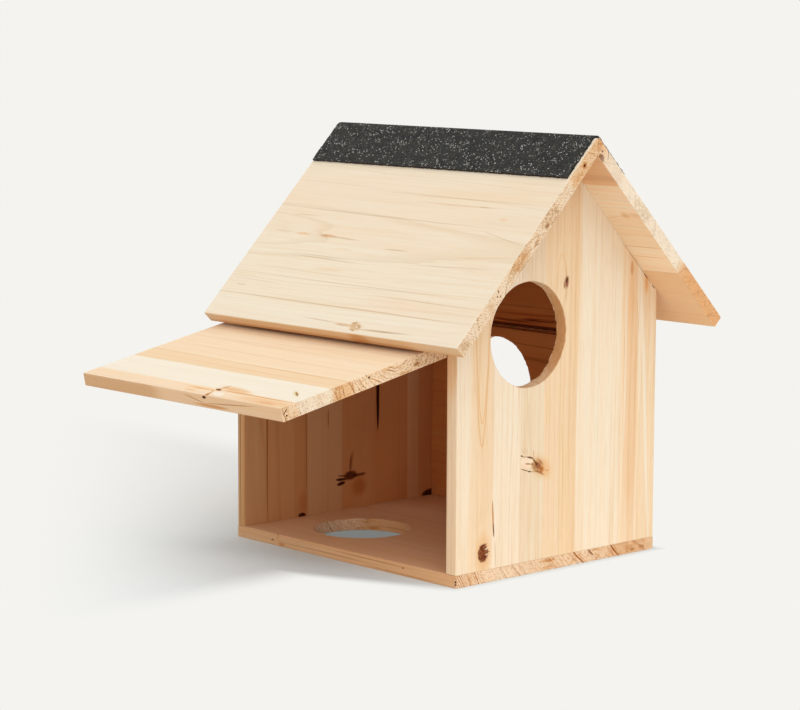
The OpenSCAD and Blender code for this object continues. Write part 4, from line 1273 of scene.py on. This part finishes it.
class Studio(bpy.types.Operator):
    """Lay the pale floor, hang the lamps and set up the camera"""
    bl_idname = "squirrel_house.studio"
    bl_label = "Studio"

    def lamp(self, name, strength, spread, toward):
        bpy.ops.object.light_add(type="SUN", location=(0, 0, 1.5))
        lamp = bpy.context.object
        lamp.name = name
        lamp.data.energy, lamp.data.angle = strength, math.radians(spread)
        lamp.rotation_euler = Vector(toward).to_track_quat("Z", "Y").to_euler()

    def execute(self, context):
        scene = context.scene
        stage = scene.studio_settings
        backdrop = tuple(stage.backdrop)
        bpy.ops.object.select_all(action="DESELECT")

        bpy.ops.mesh.primitive_plane_add(size=120, location=(0, 0, 0))
        floor = bpy.context.object
        floor.name = "studio_floor"
        f = Finish(bpy.data.materials.new("studio_floor_paint"))
        spot = f.place()
        x, y = f.dot(spot, (1, 0, 0)), f.dot(spot, (0, 1, 0))
        # The shadow lies on the flap's side and fades out to the left, and ends close by in front and on the right.
        # Its borders are pairs of places in millimetres, where it starts to fade and where it has ended
        far_left, by_house, by_flap, lit_side = (76.0, 300.0), (-9.0, 11.4), (-2.0, 49.0), (0.0, 9.0)
        half_width, half_depth = 95.0, 111.0
        left = 1 - f.rise(x * -0.803 + y * 0.595, *far_left)
        beside = x * -0.92 - y * 0.40 - 133.4
        under_house = 1 - f.rise(beside, *by_house)
        under_flap = 1 - f.rise(y * -1.0 + x * 0.052 + 28.0, *by_flap)
        front = f.node("ShaderNodeMath", {"operation": "MAXIMUM"}, {0: under_house, 1: under_flap})
        lit = f.node("ShaderNodeMath", {"operation": "MAXIMUM"}, {0: x - half_width, 1: y * -1.0 - half_depth})
        # Away from the house the shadow's end grows soft
        lit = lit / (f.rise(y, 100.0, 400.0) * 8.0 + 1.0)
        kept = left * front * (1 - f.rise(lit, *lit_side)) * (1 - f.rise(beside, -60.0, -10.0) * 0.14)
        # Painted shade: seen by the camera, the floor is 0.865 as bright to deepen its shadow, and bluer by the house
        # to cancel warm bounce
        behind = f.rise(x * 0.678 + y * 0.735, -60.0, 156.0)
        near, far = (tuple(v * c * 0.865 for v, c in zip(backdrop, cast))
                     for cast in ((0.90, 1.0, 1.08, 1.0), (1.01, 1.0, 1.0, 1.0)))
        # What the floor throws back on the object isn't toned down
        matt = f.node("ShaderNodeBsdfDiffuse", {}, {"Color": f.blend(f.seen(), backdrop, f.blend(behind, near, far))})
        glow = f.node("ShaderNodeEmission", {}, {"Color": backdrop, "Strength": 1.0})
        mixed = f.node("ShaderNodeMixShader", {}, {0: f.seen() * (1 - kept), 1: matt, 2: glow})
        # The ground seen through the floor's hole is painted shade: a grey glow that the camera sees under the house
        under = f.rise(f.one("ABSOLUTE", x), half_width - 3.0, half_width - 7.0) * f.rise(
            f.one("ABSOLUTE", y), half_depth - 3.0, half_depth - 7.0)
        grey = f.node("ShaderNodeEmission", {}, {"Color": (0.196, 0.262, 0.272, 1.0), "Strength": 1.0})
        mixed = f.node("ShaderNodeMixShader", {}, {0: f.seen() * under * 0.55, 1: mixed, 2: grey})
        f.node("ShaderNodeOutputMaterial", {}, {"Surface": mixed})
        floor.data.materials.append(f.owner)

        scene.world = bpy.data.worlds.new("studio_air")
        air = Finish(scene.world)
        plain = air.node("ShaderNodeBackground", {}, {"Color": backdrop, "Strength": 1.0})
        soft = air.node("ShaderNodeBackground", {}, {"Color": (0.95, 0.98, 1.0, 1.0), "Strength": stage.surround})
        both = air.node("ShaderNodeMixShader", {}, {0: air.seen(), 1: soft, 2: plain})
        air.node("ShaderNodeOutputWorld", {}, {"Surface": both})

        self.lamp("high_lamp", stage.key, *HIGH_LAMP)
        self.lamp("side_lamp", stage.fill, *SIDE_LAMP)

        bpy.ops.object.camera_add(location=CAMERA_PLACE)
        camera = bpy.context.object
        camera.name = "studio_camera"
        azimuth, elevation, roll = (math.radians(v) for v in CAMERA_TURN)
        back = Vector((math.sin(azimuth) * math.cos(elevation), -math.cos(azimuth) * math.cos(elevation),
                       math.sin(elevation)))
        level = (-back).cross(Vector((0, 0, 1))).normalized()
        upright = level.cross(-back)
        right = level * math.cos(roll) + upright * math.sin(roll)
        up = upright * math.cos(roll) - level * math.sin(roll)
        camera.rotation_euler = Matrix((right, up, back)).transposed().to_euler()
        camera.data.sensor_width, camera.data.lens = 36.0, stage.focal
        camera.data.clip_end = 200.0
        scene.camera = camera
        scene.view_settings.view_transform = "Standard"
        bpy.ops.object.select_all(action="DESELECT")
        return {"FINISHED"}


STEPS = (Studio, FloorBoard, GableWalls, SideWall, RoofBoards, SideFlap, RidgeFelt, Fasteners)
SETTINGS = {"house_sizes": HouseSizes, "hole_sizes": HoleSizes, "flap_sizes": FlapSizes,
            "felt_sizes": FeltSizes, "wood_tones": WoodTones, "studio_settings": StudioSettings}


class HousePanel(bpy.types.Panel):
    """The house's steps, sizes and tones"""
    bl_idname = "VIEW3D_PT_squirrel_house"
    bl_label = "Squirrel House"
    bl_space_type = "VIEW_3D"
    bl_region_type = "UI"
    bl_category = "Squirrel House"

    def draw(self, context):
        layout = self.layout
        for step in STEPS:
            layout.operator(step.bl_idname)
        for name, kind in SETTINGS.items():
            box = layout.box()
            box.label(text=kind.__doc__)
            for key in kind.__annotations__:
                box.prop(getattr(context.scene, name), key)


def register():
    for kind in (*SETTINGS.values(), *STEPS, HousePanel):
        bpy.utils.register_class(kind)
    for name, kind in SETTINGS.items():
        setattr(bpy.types.Scene, name, bpy.props.PointerProperty(type=kind))


def unregister():
    for name in SETTINGS:
        delattr(bpy.types.Scene, name)
    for kind in reversed((*SETTINGS.values(), *STEPS, HousePanel)):
        bpy.utils.unregister_class(kind)


def main():
    register()
    for step in STEPS:
        group, name = step.bl_idname.split(".")
        getattr(getattr(bpy.ops, group), name)()


if __name__ == "__main__":
    main()
